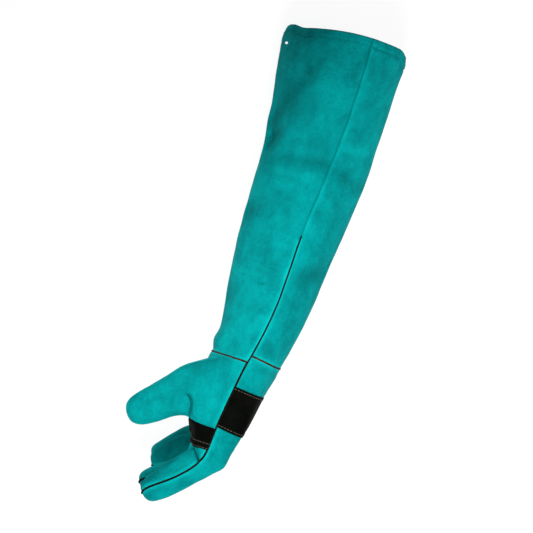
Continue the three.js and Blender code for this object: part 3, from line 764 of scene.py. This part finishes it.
# %% [markdown]
# ## Folds and dents
# Thick leather does not crumple finely: it has a few broad dents in the sleeve, a crease where the thumb
# folds towards the palm and a short one at the root of the index finger. Each dent is a soft hollow with a
# length, a width and a direction. The knuckles stand out, a groove follows the hem's stitches, and the palm
# side flares at the wrist and the cuff's corner. Low waves from noise take away what still looks too even.

# %% Where the leather is pressed
DENT_COLUMNS = ("x", "y", "angle", "length", "width", "depth")
DENTS = [dict(zip(DENT_COLUMNS, row)) for row in (
    (-8, 236, 8, 46, 9, 2.6), (48, 232, -18, 30, 8, 2.8), (-6, 112, -42, 34, 9, 2.4),
    (-46, 300, 70, 55, 12, 4.5), (46, 118, 35, 34, 10, 2.8), (-30, 178, 40, 30, 10, 2.4),
    (-50, 250, 72, 15, 7, 6.5), (17, 255, 70, 7, 4, 1.6), (48, 257, -2, 16, 4, 1.5),
    (-9, 257, 8, 22, 4, 1.3), (-23, 213, 5, 16, 4, 1.3), (-46, 169, 75, 24, 6, 2.4),
    (-40, 63, 62, 14, 5, 2.2), (-31, 43, 40, 11, 5, 1.8), (-10.8, 90.3, -9, 14, 2.6, 3.0),
)]
THUMB_CREASE = ((-50.5, -55), (-46.5, -58), (-43.6, -63.3), (-42.8, -68.4), (-42, -76.1), (-39.5, -81))
INDEX_CREASE = ((-26.3, -109.6), (-22, -115), (-17.3, -121))
# A crease is a narrow cut in a wider hollow. It fades out down to its lowest height, and the last column
# is how dark the painted shade at its bottom is.
CREASES = [dict(zip(("line", "lowest", "width", "depth", "painted_shade"), row)) for row in (
    (THUMB_CREASE, 60, 1.2, 3.2, 0.75), (THUMB_CREASE, 60, 4, 0.9, 0),
    (INDEX_CREASE, 80, 1.5, 3.6, 0.75), (INDEX_CREASE, 80, 4, 1.8, 0),
)]
CREASE_REACH = 6.0
CREASE_FADE = 14.0
CREASE_CUTS = 2
KNUCKLE = dict(out=0.85, onwards=13, radius=11, rise=3.8)
CUFF_FLARE = dict(beyond=-55, over=14, out=3.4, fade=17)
WRIST_FLARE = dict(beyond=-22, over=12, out=4.6, y=13, long=11, low=20)
PALM_HOLLOW = dict(beyond=-14, over=16, out=-2.8, y=-97, long=13, low=30, thumb=-46, thumb_over=6)
FACING_UP = 0.2
FACING_DOWN = -0.35
UNDERSIDE_SINKS = 0.5
WAVES = ((46, 1.1), (17, 0.45), (7, 0.16))
WAVE_START = Vector((3.1, 1.7, 5.3))
HEM_STITCH = 9.0
HEM_GROOVE = dict(width=1.6, front=0.3, back=0.9)
SEAM_RIDGE = dict(beside=3.6, width=3.4, rise=0.55, above=150, over=30)
print("dents:", len(DENTS), "creases:", len(CREASES))

# %% [markdown]
# One function says how far the leather sinks at a point, and another how far the palm side stands out.

# %% How far it is pressed
def to_wrist(point):
    """A place in the frame, in millimetres from the wrist."""
    return point / MM - WRIST


def hump(away, width):
    """1 in the middle, fading to 0 on both sides."""
    return math.exp(-(away / width) ** 2)


def soft_step(share):
    share = min(1, max(0, share))
    return share * share * (3 - 2 * share)


def upper_seam(y):
    """Where the upper seam of the sleeve runs, read from the table of sections."""
    for upper, lower in zip(SLEEVE, SLEEVE[1:]):
        if lower["y"] <= y <= upper["y"]:
            return mix(lower["seam"], upper["seam"], (y - lower["y"]) / (upper["y"] - lower["y"]))
    return SLEEVE[0]["seam"]


def distance_to_line(p, line):
    """How far a point is from a run of straight pieces, seen from above."""
    best = math.inf
    for (ax, ay), (bx, by) in zip(line, line[1:]):
        along = ((p.x - ax) * (bx - ax) + (p.y - ay) * (by - ay)) / ((bx - ax) ** 2 + (by - ay) ** 2)
        along = min(1, max(0, along))
        best = min(best, math.hypot(p.x - mix(ax, bx, along), p.y - mix(ay, by, along)))
    return best


def dent_share(p, dent):
    """1 in the middle of a dent, fading to 0 around it."""
    turn = math.radians(dent["angle"])
    c, s = math.cos(turn), math.sin(turn)
    dx, dy = p.x - dent["x"], p.y - dent["y"]
    return hump(math.hypot((dx * c + dy * s) / dent["length"], (dy * c - dx * s) / dent["width"]), 1)


def pressed(p, normal):
    """How far the leather sinks at a point, in millimetres; below 0 it stands out."""
    groove = HEM_GROOVE["front"] if p.x < upper_seam(p.y) else HEM_GROOVE["back"]
    depth = groove * hump(cuff_line(p.x) - p.y - HEM_STITCH, HEM_GROOVE["width"])
    if normal.x > 0:
        for f in FINGERS:
            top = Vector((f["x"] + KNUCKLE["out"] * f["thick"], f["y"] - KNUCKLE["onwards"], f["z"]))
            depth -= KNUCKLE["rise"] * hump((p - top).length, KNUCKLE["radius"])
    if normal.z > FACING_UP:
        for dent in DENTS:
            depth += dent["depth"] * dent_share(p, dent)
        for crease in CREASES:
            above = soft_step((p.z - crease["lowest"]) / CREASE_FADE)
            depth += above * crease["depth"] * hump(distance_to_line(p, crease["line"]), crease["width"])
        up_the_arm = min(1, max(0, (p.y - SEAM_RIDGE["above"]) / SEAM_RIDGE["over"]))
        beside = p.x - upper_seam(p.y) - SEAM_RIDGE["beside"]
        depth -= SEAM_RIDGE["rise"] * up_the_arm * hump(beside, SEAM_RIDGE["width"])
    return depth


def beyond(p, flare):
    return flare["out"] * soft_step((flare["beyond"] - p.x) / flare["over"])


def around(p, flare):
    return hump(p.y - flare["y"], flare["long"]) * soft_step(p.z / flare["low"])


def flared(p):
    """How far the palm side stands out at the cuff's corner and the wrist, less the hollow of the palm."""
    at_rim = soft_step(1 - (cuff_arch(p.x) - p.y) / CUFF_FLARE["fade"])
    off_thumb = soft_step((p.x - PALM_HOLLOW["thumb"]) / PALM_HOLLOW["thumb_over"])
    out = beyond(p, CUFF_FLARE) * at_rim + beyond(p, WRIST_FLARE) * around(p, WRIST_FLARE)
    return out + beyond(p, PALM_HOLLOW) * around(p, PALM_HOLLOW) * off_thumb


on_first_dent = Vector((DENTS[0]["x"], DENTS[0]["y"], SLEEVE[0]["top"]))
print("the first dent sinks by", round(pressed(on_first_dent, Vector((0, 0, 1))), 1), "mm")

# %% [markdown]
# The faces near a crease are cut finer, so that it can be narrow. Then every corner of the skin moves, by
# where it is and by the way its leather faces. The underside lies on the floor, so there it sinks half as
# deep and never stands out.

# %% Press the skin
bpy.ops.object.mode_set(mode="EDIT")
bpy.ops.mesh.select_mode(type="FACE")
bpy.ops.mesh.select_all(action="DESELECT")
cage = bmesh.from_edit_mesh(skin.data)
for face in cage.faces:
    p = to_wrist(face.calc_center_median())
    face.select_set(any(p.z > c["lowest"] and distance_to_line(p, c["line"]) < CREASE_REACH for c in CREASES))
bmesh.update_edit_mesh(skin.data)
bpy.ops.mesh.subdivide(number_cuts=CREASE_CUTS)
bpy.ops.object.mode_set(mode="OBJECT")

outward = [vertex.normal.copy() for vertex in skin.data.vertices]
for vertex, normal in zip(skin.data.vertices, outward):
    p = to_wrist(vertex.co)
    rise = sum(height * noise.noise(p / length + WAVE_START) for length, height in WAVES) - pressed(p, normal)
    if normal.z < FACING_DOWN:
        rise = min(0, rise) * UNDERSIDE_SINKS
    near_cuff = max(0, 1 - (cuff_arch(p.x) - p.y) / CUFF_CORNERS["fade"])
    vertex.co += (normal * rise + Vector((-flared(p), cuff_corner(p.x) * near_cuff, 0))) * MM
skin.data.update()
print("corners of the skin:", len(outward))

# %% [markdown]
# ## Cutting the panels
# Each panel is a copy of the skin with every other face deleted. It is drawn back a little from the seams
# by an inset whose rim is removed, thickened inwards by Solidify to the leather's wall, and its edges are
# rounded by Bevel, as leather rolls down into a seam.

# %% Helpers for panels
LEATHER = 2.0
SEAM_HALF = 0.32
EDGE_ROUND = 0.85
EDGE_STEPS = 3
EDGE_ANGLE = math.radians(62)


def link_alone(piece):
    """Puts a piece into the scene and makes it the only selected one."""
    bpy.context.scene.collection.objects.link(piece)
    bpy.ops.object.select_all(action="DESELECT")
    bpy.context.view_layer.objects.active = piece
    piece.select_set(True)


def copy_of_skin(name, panel_names):
    """A copy of the skin that keeps only the faces of some panels."""
    piece = skin.copy()
    piece.data = skin.data.copy()
    piece.name = name
    piece.data.name = name
    link_alone(piece)
    bpy.ops.object.mode_set(mode="EDIT")
    bpy.ops.mesh.select_mode(type="FACE")
    bpy.ops.mesh.select_all(action="DESELECT")
    mesh = bmesh.from_edit_mesh(piece.data)
    panel = mesh.faces.layers.int["panel"]
    for face in mesh.faces:
        face.select_set(PANELS[face[panel]] not in panel_names)
    bmesh.update_edit_mesh(piece.data)
    bpy.ops.mesh.delete(type="FACE")
    bpy.ops.object.mode_set(mode="OBJECT")
    return piece


def draw_back(amount):
    """Insets the whole of the selected piece and removes the rim, so that its edge moves in by amount."""
    bpy.ops.object.mode_set(mode="EDIT")
    bpy.ops.mesh.select_all(action="SELECT")
    bpy.ops.mesh.inset(thickness=amount * MM, depth=0, use_boundary=True, use_even_offset=False)
    bpy.ops.mesh.select_all(action="INVERT")
    bpy.ops.mesh.delete(type="FACE")
    bpy.ops.object.mode_set(mode="OBJECT")


def thicken(piece, wall, edge):
    """Gives a panel its wall inwards and rounds its edges."""
    solid = piece.modifiers.new("wall", "SOLIDIFY")
    solid.thickness = wall * MM
    solid.offset = -1
    solid.use_even_offset = False
    bpy.ops.object.modifier_apply(modifier="wall")
    bevel = piece.modifiers.new("edge", "BEVEL")
    bevel.width = edge * MM
    bevel.segments = EDGE_STEPS
    bevel.limit_method = "ANGLE"
    bevel.angle_limit = EDGE_ANGLE
    bevel.use_clamp_overlap = True
    bpy.ops.object.modifier_apply(modifier="edge")
    bpy.ops.object.shade_smooth()


def finish_piece(piece, material, *nodes):
    """Gives a piece its finish, its body and the solids that it stands for."""
    piece.data.materials.clear()
    piece.data.materials.append(material)
    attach(piece, "root")
    if nodes:
        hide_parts(*nodes)
    print(piece.name, "faces:", len(piece.data.polygons))


print("leather", LEATHER, "mm thick")

# %% [markdown]
# The colour follows the shape. Leather is rubbed pale at its seams, in patches, less so up the sleeve, and
# a painted highlight brightens the seam's edge there as well; painted shade darkens the bottom of creases
# and dents and a line beside the upper seam. Both go into one attribute.

# %% Rubbed seams with a painted highlight, and painted shade in folds
# How far from a seam the wear and painted highlight reach, how strong they are, and how patchy
WEAR_AND_HIGHLIGHT = dict(reach=3.0, elsewhere=1.0, upper_back=0.65, upper_front=0.1, least=0.75, varies=0.6, patch=14)
NO_SEAM_AT_RIM = 3.0
# Painted shade: in dents above this height, so much for each millimetre of depth, and in a line beside the
# upper seam
FOLDS_ABOVE = 45.0
DENT_PAINTED_SHADE = 0.09
SEAM_PAINTED_SHADE = dict(share=0.35, beside=-1, width=1.2)


def fold_painted_shade(p):
    """How much painted shade darkens the suede in a crease, in the dent of a fold and beside the upper seam.
    """
    painted_shade = 0
    for crease in CREASES:
        if p.z > crease["lowest"]:
            painted_shade += crease["painted_shade"] * hump(distance_to_line(p, crease["line"]), crease["width"])
    if p.z > FOLDS_ABOVE:
        painted_shade += sum(DENT_PAINTED_SHADE * dent["depth"] * dent_share(p, dent) for dent in DENTS)
        # Painted shade in a thin line beside the groove of the upper seam
        if p.y > SEAM_RIDGE["above"]:
            beside = p.x - upper_seam(p.y) - SEAM_PAINTED_SHADE["beside"]
            painted_shade += SEAM_PAINTED_SHADE["share"] * hump(beside, SEAM_PAINTED_SHADE["width"])
    return min(1, painted_shade)


def paint_wear_highlight_and_shade(piece):
    """Writes the attribute of wear and painted highlight, strongest at a seam and fading inwards, and below 0
    where it paints shade in folds.
    """
    mesh = bmesh.new()
    mesh.from_mesh(piece.data)
    rim = [v.co.copy() for v in mesh.verts if v.is_boundary]
    mesh.free()
    seams = [co for co in rim if to_wrist(co).y < cuff_line(to_wrist(co).x) - NO_SEAM_AT_RIM]
    tree = KDTree(len(seams))
    for i, co in enumerate(seams):
        tree.insert(co, i)
    tree.balance()
    wear_highlight_and_shade = piece.data.attributes.new("wear_highlight_and_shade", "FLOAT", "POINT")
    for vertex in piece.data.vertices:
        p = to_wrist(vertex.co)
        _, _, away = tree.find(vertex.co)
        # Wear and painted highlight; up the sleeve it is strong on the back panel beside the raised edge of
        # the upper seam, and faint on the front
        strength = WEAR_AND_HIGHLIGHT["elsewhere"]
        if p.y > SEAM_RIDGE["above"]:
            strength = WEAR_AND_HIGHLIGHT["upper_front"] if piece.name.startswith("front") else WEAR_AND_HIGHLIGHT["upper_back"]
        patchy = WEAR_AND_HIGHLIGHT["least"] + WEAR_AND_HIGHLIGHT["varies"] * noise.noise(vertex.co / (WEAR_AND_HIGHLIGHT["patch"] * MM))
        worn_and_highlit = strength * max(0, min(1, patchy)) * hump(away / MM, WEAR_AND_HIGHLIGHT["reach"])
        wear_highlight_and_shade.data[vertex.index].value = worn_and_highlit - fold_painted_shade(p)


print("rubbed within", WEAR_AND_HIGHLIGHT["reach"], "mm of a seam")

# %% [markdown]
# The sleeve's panels end in a hem: the cuff's edge is turned in and lies doubled for some eleven
# millimetres. It is extruded from the edge in short steps round the fold, and then in two long ones back
# towards the hand.

# %% Hem
HEM_STEPS = ((0.7, 0.8), (1.9, 1.2), (3.2, 0.8), (3.9, 0), (3.9, -5), (3.9, -11))
RIM_WITHIN = 1.8


def fold_hem(piece):
    """Extrudes the cuff's edge round the fold: each step is a depth under the surface and a way forward."""
    bpy.ops.object.mode_set(mode="EDIT")
    bpy.ops.mesh.select_mode(type="EDGE")
    bpy.ops.mesh.select_all(action="DESELECT")
    mesh = bmesh.from_edit_mesh(piece.data)
    order = mesh.verts.layers.int.new("order")
    for edge in mesh.edges:
        ends = [to_wrist(v.co) for v in edge.verts]
        edge.select_set(edge.is_boundary and all(p.y - cuff_line(p.x) > -RIM_WITHIN for p in ends))
    rim = [v for v in mesh.verts if v.select]
    start = [(v.co.copy(), v.normal.copy()) for v in rim]
    for i, corner in enumerate(rim):
        corner[order] = i
    bmesh.update_edit_mesh(piece.data)
    for depth, forward in HEM_STEPS:
        bpy.ops.mesh.extrude_region_move()
        mesh = bmesh.from_edit_mesh(piece.data)
        order = mesh.verts.layers.int["order"]
        for corner in (v for v in mesh.verts if v.select):
            place, normal = start[corner[order]]
            flat = Vector((normal.x, 0, normal.z)).normalized()
            corner.co = place + (Vector((0, forward, 0)) - flat * depth) * MM
        bmesh.update_edit_mesh(piece.data)
    bpy.ops.object.mode_set(mode="OBJECT")


def panel_piece(name, panel, hem=False, patch=None):
    """One leather panel in the place of its solid; some have a hem, and some sink under a patch."""
    piece = copy_of_skin(name, [panel])
    draw_back(SEAM_HALF)
    paint_wear_highlight_and_shade(piece)
    if patch:
        sink_under(piece, patch)
    if hem:
        fold_hem(piece)
    thicken(piece, LEATHER, EDGE_ROUND)
    finish_piece(piece, green_suede, panel)
    return piece


front_sleeve = panel_piece("front_sleeve_leather", "sleeve_front", hem=True)
panel_piece("back_sleeve_leather", "sleeve_back", hem=True)

# %% [markdown]
# Two black patches are sewn onto the hand, over the knuckles and across the palm. Each one's edges are
# straight cuts, so a patch is the part of the skin between a few planes. The green leather sinks a little
# where a patch presses on it.

# %% Where the patches are
KNUCKLE_PATCH = [
    (Vector((0, -30.5, 100)), Vector((0.119, 0.993, 0.03))),
    (Vector((-7.6, -79.8, 108)), Vector((-0.16, -0.987, -0.109))),
]
PALM_PATCH = [
    (Vector((-20, -82.3, 108)), Vector((0, 1, 0.109))),
    (Vector((-20, -108.3, 104)), Vector((0, -1, 0))),
    (Vector((-20, -108.3, 82)), Vector((0, -1, -0.22))),
    (Vector((-41, -95, 90)), Vector((-1, 0, 0))),
]
PALM_PATCH_PANELS = ["palm_panel", "index_front"]
SINK = 1.2
SINK_OVER = 2.5


def inside_patch(p, patch):
    """How far a place is inside the nearest of the cuts that bound a patch."""
    return min((place - p).dot(out.normalized()) for place, out in patch)


def sink_under(piece, patch):
    """Presses the green leather in where the patch lies on it."""
    outward = [vertex.normal.copy() for vertex in piece.data.vertices]
    for vertex, normal in zip(piece.data.vertices, outward):
        vertex.co -= normal * SINK * soft_step(inside_patch(to_wrist(vertex.co), patch) / SINK_OVER) * MM


print("cuts of the palm patch:", len(PALM_PATCH))

# %% [markdown]
# The panels of the hand are made like those of the sleeve. Three of them sink under a patch.

# %% Hand panels
panel_piece("palm_leather", "palm_panel", patch=PALM_PATCH)
panel_piece("hand_back_leather", "hand_back", patch=KNUCKLE_PATCH)
panel_piece("thumb_inner_leather", "thumb_inner")
for finger in FINGERS:
    front = finger["name"] + "_front"
    panel_piece(front + "_leather", front, patch=PALM_PATCH if front in PALM_PATCH_PANELS else None)

# %% [markdown]
# The corner of the cuff has a hole punched through both layers, for a hook or a tag string. A cylinder is
# subtracted from the panel with a Boolean.

# %% Hang hole
HANG_HOLE = dict(x=-65, y=357.3, z=50, diameter=3.4, drill=200)


def punch(piece):
    bpy.ops.object.select_all(action="DESELECT")
    bpy.ops.mesh.primitive_cylinder_add(
        vertices=24, radius=HANG_HOLE["diameter"] / 2 * MM, depth=HANG_HOLE["drill"] * MM,
        location=placed(HANG_HOLE["x"], HANG_HOLE["y"], HANG_HOLE["z"]))
    drill = bpy.context.active_object
    bpy.context.view_layer.objects.active = piece
    cut = piece.modifiers.new("hole", "BOOLEAN")
    cut.operation = "DIFFERENCE"
    cut.object = drill
    cut.solver = "EXACT"
    bpy.ops.object.modifier_apply(modifier="hole")
    bpy.data.objects.remove(drill)


punch(front_sleeve)
print("hole punched:", len(front_sleeve.data.polygons), "faces")

# %% [markdown]
# ## Seam lines
# The welts follow the lines where two panels meet. The skin is read once: every edge between two panels is
# found, and the edges are chained into a line, each point with the way out of the leather.

# %% Read the lines
skin_mesh = bmesh.new()
skin_mesh.from_mesh(skin.data)
skin_tree = BVHTree.FromBMesh(skin_mesh)
skin_panel = skin_mesh.faces.layers.int["panel"]
FRONT_OF_HAND = {"palm_panel", *(f["name"] + "_front" for f in FINGERS)}
BACK_OF_HAND = {"hand_back"}
SLEEVES = {"sleeve_front"}, {"sleeve_back"}


def in_order(edges):
    """Chains edges into a run of corners from the highest end, and says whether it is a loop."""
    beside = {}
    for edge in edges:
        for one, other in (edge.verts, reversed(edge.verts)):
            beside.setdefault(one, []).append(other)
    ends = [v for v in beside if len(beside[v]) == 1]
    start = max(ends or beside, key=lambda v: (v.co.z, v.co.y))
    chain, previous = [start], None
    while len(chain) <= len(beside):
        following = [v for v in beside[chain[-1]] if v is not previous and v is not start]
        if not following:
            break
        previous = chain[-1]
        chain.append(following[0])
    return chain, not ends


def line_between(first, second, keep=lambda place: True):
    """The line where two groups of panels meet: its points with the way out, and whether it closes."""
    edges = []
    for edge in skin_mesh.edges:
        beside = [PANELS[face[skin_panel]] for face in edge.link_faces]
        if len(beside) < 2 or not keep(to_wrist((edge.verts[0].co + edge.verts[1].co) / 2)):
            continue
        a, b = beside
        if (a in first and b in second) or (b in first and a in second):
            edges.append(edge)
    chain, closed = in_order(edges)
    return [(v.co.copy(), v.normal.copy()) for v in chain], closed


print("points down the side of the hand:", len(line_between(FRONT_OF_HAND, BACK_OF_HAND)[0]))

# %% [markdown]
# ## Welts
# A welt is a thin strip sewn into a seam, whose edge stands in the groove between the two panels. It is
# drawn as a curve along the seam line, given a round section and made a mesh.

# %% Welts
UPPER = 40
WELT_SHOWS_BELOW = 152
BEHIND_SLEEVE = {"sleeve_back", "hand_back"}


def welt(name, runs, material, *nodes, radius, proud):
    """A round strip along one or more runs of points, so far above the leather's face or below it."""
    curve = bpy.data.curves.new(name, "CURVE")
    curve.dimensions = "3D"
    curve.bevel_depth = radius * MM
    curve.bevel_resolution = 2
    curve.use_fill_caps = True
    for line, closed in runs:
        spline = curve.splines.new("POLY")
        spline.points.add(len(line) - 1)
        for point, (co, normal) in zip(spline.points, line):
            point.co = (*(co + normal * proud * MM), 1)
        spline.use_cyclic_u = closed
    piece = bpy.data.objects.new(name, curve)
    link_alone(piece)
    bpy.ops.object.convert(target="MESH")
    bpy.ops.object.shade_smooth()
    finish_piece(piece, material, *nodes)


low = line_between({"sleeve_front"}, BEHIND_SLEEVE, lambda p: p.z > UPPER and p.y < WELT_SHOWS_BELOW)
high = line_between(*SLEEVES, lambda p: p.z > UPPER and p.y >= WELT_SHOWS_BELOW)
under = line_between(*SLEEVES, lambda p: p.z < UPPER)
welt("upper_sleeve_welt", [low], black_welt, "upper_arm_welt", radius=1.0, proud=-0.05)
welt("upper_sleeve_hidden_welt", [high], teal_thread, radius=0.5, proud=-1.1)
welt("lower_sleeve_welt", [under], black_welt, "lower_arm_welt", radius=0.6, proud=-0.6)
for finger in FINGERS:
    runs = [line_between({finger["name"] + "_front"}, BACK_OF_HAND)]
    if finger is FINGERS[0]:
        runs.append(line_between({"palm_panel"}, BACK_OF_HAND, lambda p: p.z > UPPER))
    if finger is FINGERS[-1]:
        runs.append(line_between({"palm_panel"}, BACK_OF_HAND, lambda p: p.z < UPPER))
    name = finger["name"]
    welt(name + "_side_welt", runs, black_welt, name + "_welt", radius=1.15, proud=0.15)
round_thumb = line_between({"palm_panel"}, {"thumb_inner"})
round_wrist = [line_between({"palm_panel"}, {"sleeve_front"}), line_between({"hand_back"}, {"sleeve_back"})]
welt("thumb_side_welt", [round_thumb], teal_thread, "thumb_welt", radius=0.6, proud=-0.6)
welt("wrist_seam_welt", round_wrist, brown_welt, "wrist_welt", radius=1.3, proud=-0.4)

# %% [markdown]
# ## Patches
# Two pieces of black grain leather protect the knuckles and the palm. Each is a copy of the skin, cut
# straight with Bisect, moved out by a millimetre and given its own wall, so its edges stand up from the
# green leather.

# %% Patches
PATCH = 1.6
PATCH_OUT = 1.0
PATCH_EDGE = 0.5
PATCH_GAP = 0.6


def patch_piece(name, panel_names, patch, node):
    piece = copy_of_skin(name, panel_names)
    draw_back(PATCH_GAP)
    bpy.ops.object.mode_set(mode="EDIT")
    for place, out in patch:
        bpy.ops.mesh.select_all(action="SELECT")
        bpy.ops.mesh.bisect(plane_co=placed(*place), plane_no=out.normalized(), clear_outer=True)
    bpy.ops.mesh.select_all(action="SELECT")
    bpy.ops.transform.shrink_fatten(value=PATCH_OUT * MM)
    bpy.ops.object.mode_set(mode="OBJECT")
    thicken(piece, PATCH, PATCH_EDGE)
    finish_piece(piece, black_leather, node)


patch_piece("knuckle_patch_leather", ["hand_back"], KNUCKLE_PATCH, "knuckle_patch")
patch_piece("palm_patch_leather", PALM_PATCH_PANELS, PALM_PATCH, "palm_patch")

# %% [markdown]
# ## Stitches
# Heavy thread shows as a row of short stitches. One stitch is modelled from a small sphere, pulled out to a
# spindle, and copied along a line that runs beside the edge of the patch or the hem, each copy lying on the
# leather there.

# %% One stitch, and rows of it
STITCH_LENGTH = 3.4
STITCH_EVERY = 3.8
STITCH_THICK = 0.95

bpy.ops.object.select_all(action="DESELECT")
bpy.ops.mesh.primitive_uv_sphere_add(segments=8, ring_count=6, radius=0.5 * MM)
one_stitch = bpy.context.active_object
one_stitch.name = "one_stitch"
bpy.ops.object.mode_set(mode="EDIT")
bpy.ops.mesh.select_all(action="SELECT")
bpy.ops.transform.resize(value=(STITCH_LENGTH, STITCH_THICK, STITCH_THICK))
bpy.ops.object.mode_set(mode="OBJECT")
bpy.ops.object.shade_smooth()


def even_points(points, spacing):
    """Places at even distances along a run of points, each with the direction there."""
    places = []
    travelled, wanted = 0.0, spacing / 2
    for a, b in zip(points, points[1:]):
        step = (b - a).length
        while step and travelled + step >= wanted:
            places.append((a.lerp(b, (wanted - travelled) / step), (b - a).normalized()))
            wanted += spacing
        travelled += step
    return places


def stitch_row(name, line, height, material, every=STITCH_EVERY):
    """A row of stitches along a run of places, laid on the leather at a height over it."""
    points = []
    for place in line:
        near, normal, _, _ = skin_tree.find_nearest(place)
        points.append(near + normal * height * MM)
    copies = []
    for place, along in even_points(points, every * MM):
        _, normal, _, _ = skin_tree.find_nearest(place)
        side = normal.cross(along).normalized()
        turn = Matrix((along, side, along.cross(side))).transposed().to_4x4()
        stitch = one_stitch.copy()
        stitch.data = one_stitch.data.copy()
        stitch.data.transform(Matrix.Translation(place) @ turn)
        bpy.context.scene.collection.objects.link(stitch)
        copies.append(stitch)
    bpy.ops.object.select_all(action="DESELECT")
    for stitch in copies:
        stitch.select_set(True)
    bpy.context.view_layer.objects.active = copies[0]
    bpy.ops.object.join()
    row = bpy.context.active_object
    row.name = name
    row.data.name = name
    finish_piece(row, material)
    print(name, "stitches:", len(copies))


print("corners of one stitch:", len(one_stitch.data.vertices))

# %% [markdown]
# The rows on a patch run beside its cuts. The line of a row is where a plane, set in from the cut, crosses
# the skin.

# %% Patch stitches
ON_PATCH = PATCH_OUT + 0.15
ROW_ENDS = 0.8
ROWS_MEET = 0.3


def line_in_patch(panel_names, patch, cut, inwards):
    """The run of points across a patch, at a distance from one of its cuts, from the top down."""
    piece = skin_mesh.copy()
    number = piece.faces.layers.int["panel"]
    other_faces = [f for f in piece.faces if PANELS[f[number]] not in panel_names]
    bmesh.ops.delete(piece, geom=other_faces, context="FACES")
    place, out = patch[cut][0], patch[cut][1].normalized()
    whole = [*piece.verts, *piece.edges, *piece.faces]
    on_cut = placed(*(place - out * inwards))
    crossing = bmesh.ops.bisect_plane(piece, geom=whole, plane_co=on_cut, plane_no=out)
    line = [v.co.copy() for v in crossing["geom_cut"] if isinstance(v, bmesh.types.BMVert)]
    piece.free()
    line = [co for co in line if inside_patch(to_wrist(co), patch) > ROW_ENDS]
    # Two low cuts meet at an angle, and so do their rows
    others = [c for c in patch if c is not patch[cut] and c[1].y < 0]
    if others:
        line = [co for co in line if inside_patch(to_wrist(co), others) > inwards - ROWS_MEET]
    return sorted(line, key=lambda co: -co.z)


for name, panel_names, patch, cut, inwards in (
    ("knuckle_patch_top_stitches", ["hand_back"], KNUCKLE_PATCH, 0, 2.7),
    ("knuckle_patch_low_stitches", ["hand_back"], KNUCKLE_PATCH, 1, 2.7),
    ("palm_patch_stitches_1", PALM_PATCH_PANELS, PALM_PATCH, 1, 1.7),
    ("palm_patch_stitches_2", PALM_PATCH_PANELS, PALM_PATCH, 1, 7.2),
    ("palm_patch_stitches_3", PALM_PATCH_PANELS, PALM_PATCH, 2, 1.7),
    ("palm_patch_stitches_4", PALM_PATCH_PANELS, PALM_PATCH, 2, 7.2),
):
    stitch_row(name, line_in_patch(panel_names, patch, cut, inwards), ON_PATCH, grey_thread)

# %% [markdown]
# The hem is sewn with thread of the leather's own colour, which nearly disappears. Its line is the cuff's
# edge, moved back towards the hand.

# %% Hem stitches
HEM_STITCH_EVERY = 4.2
HEM_STITCH_OUT = 0.05
rim, _ = in_order([edge for edge in skin_mesh.edges if edge.is_boundary])
hem_line = [v.co - Vector((0, HEM_STITCH, 0)) * MM for v in (*rim, rim[0])]
stitch_row("hem_stitches", hem_line, HEM_STITCH_OUT, teal_thread, HEM_STITCH_EVERY)

# %% [markdown]
# ## Clearing up
# The skin and the single stitch were only patterns, so they go.

# %% Finish
skin_mesh.free()
bpy.data.objects.remove(skin)
bpy.data.objects.remove(one_stitch)
bpy.ops.object.select_all(action="DESELECT")
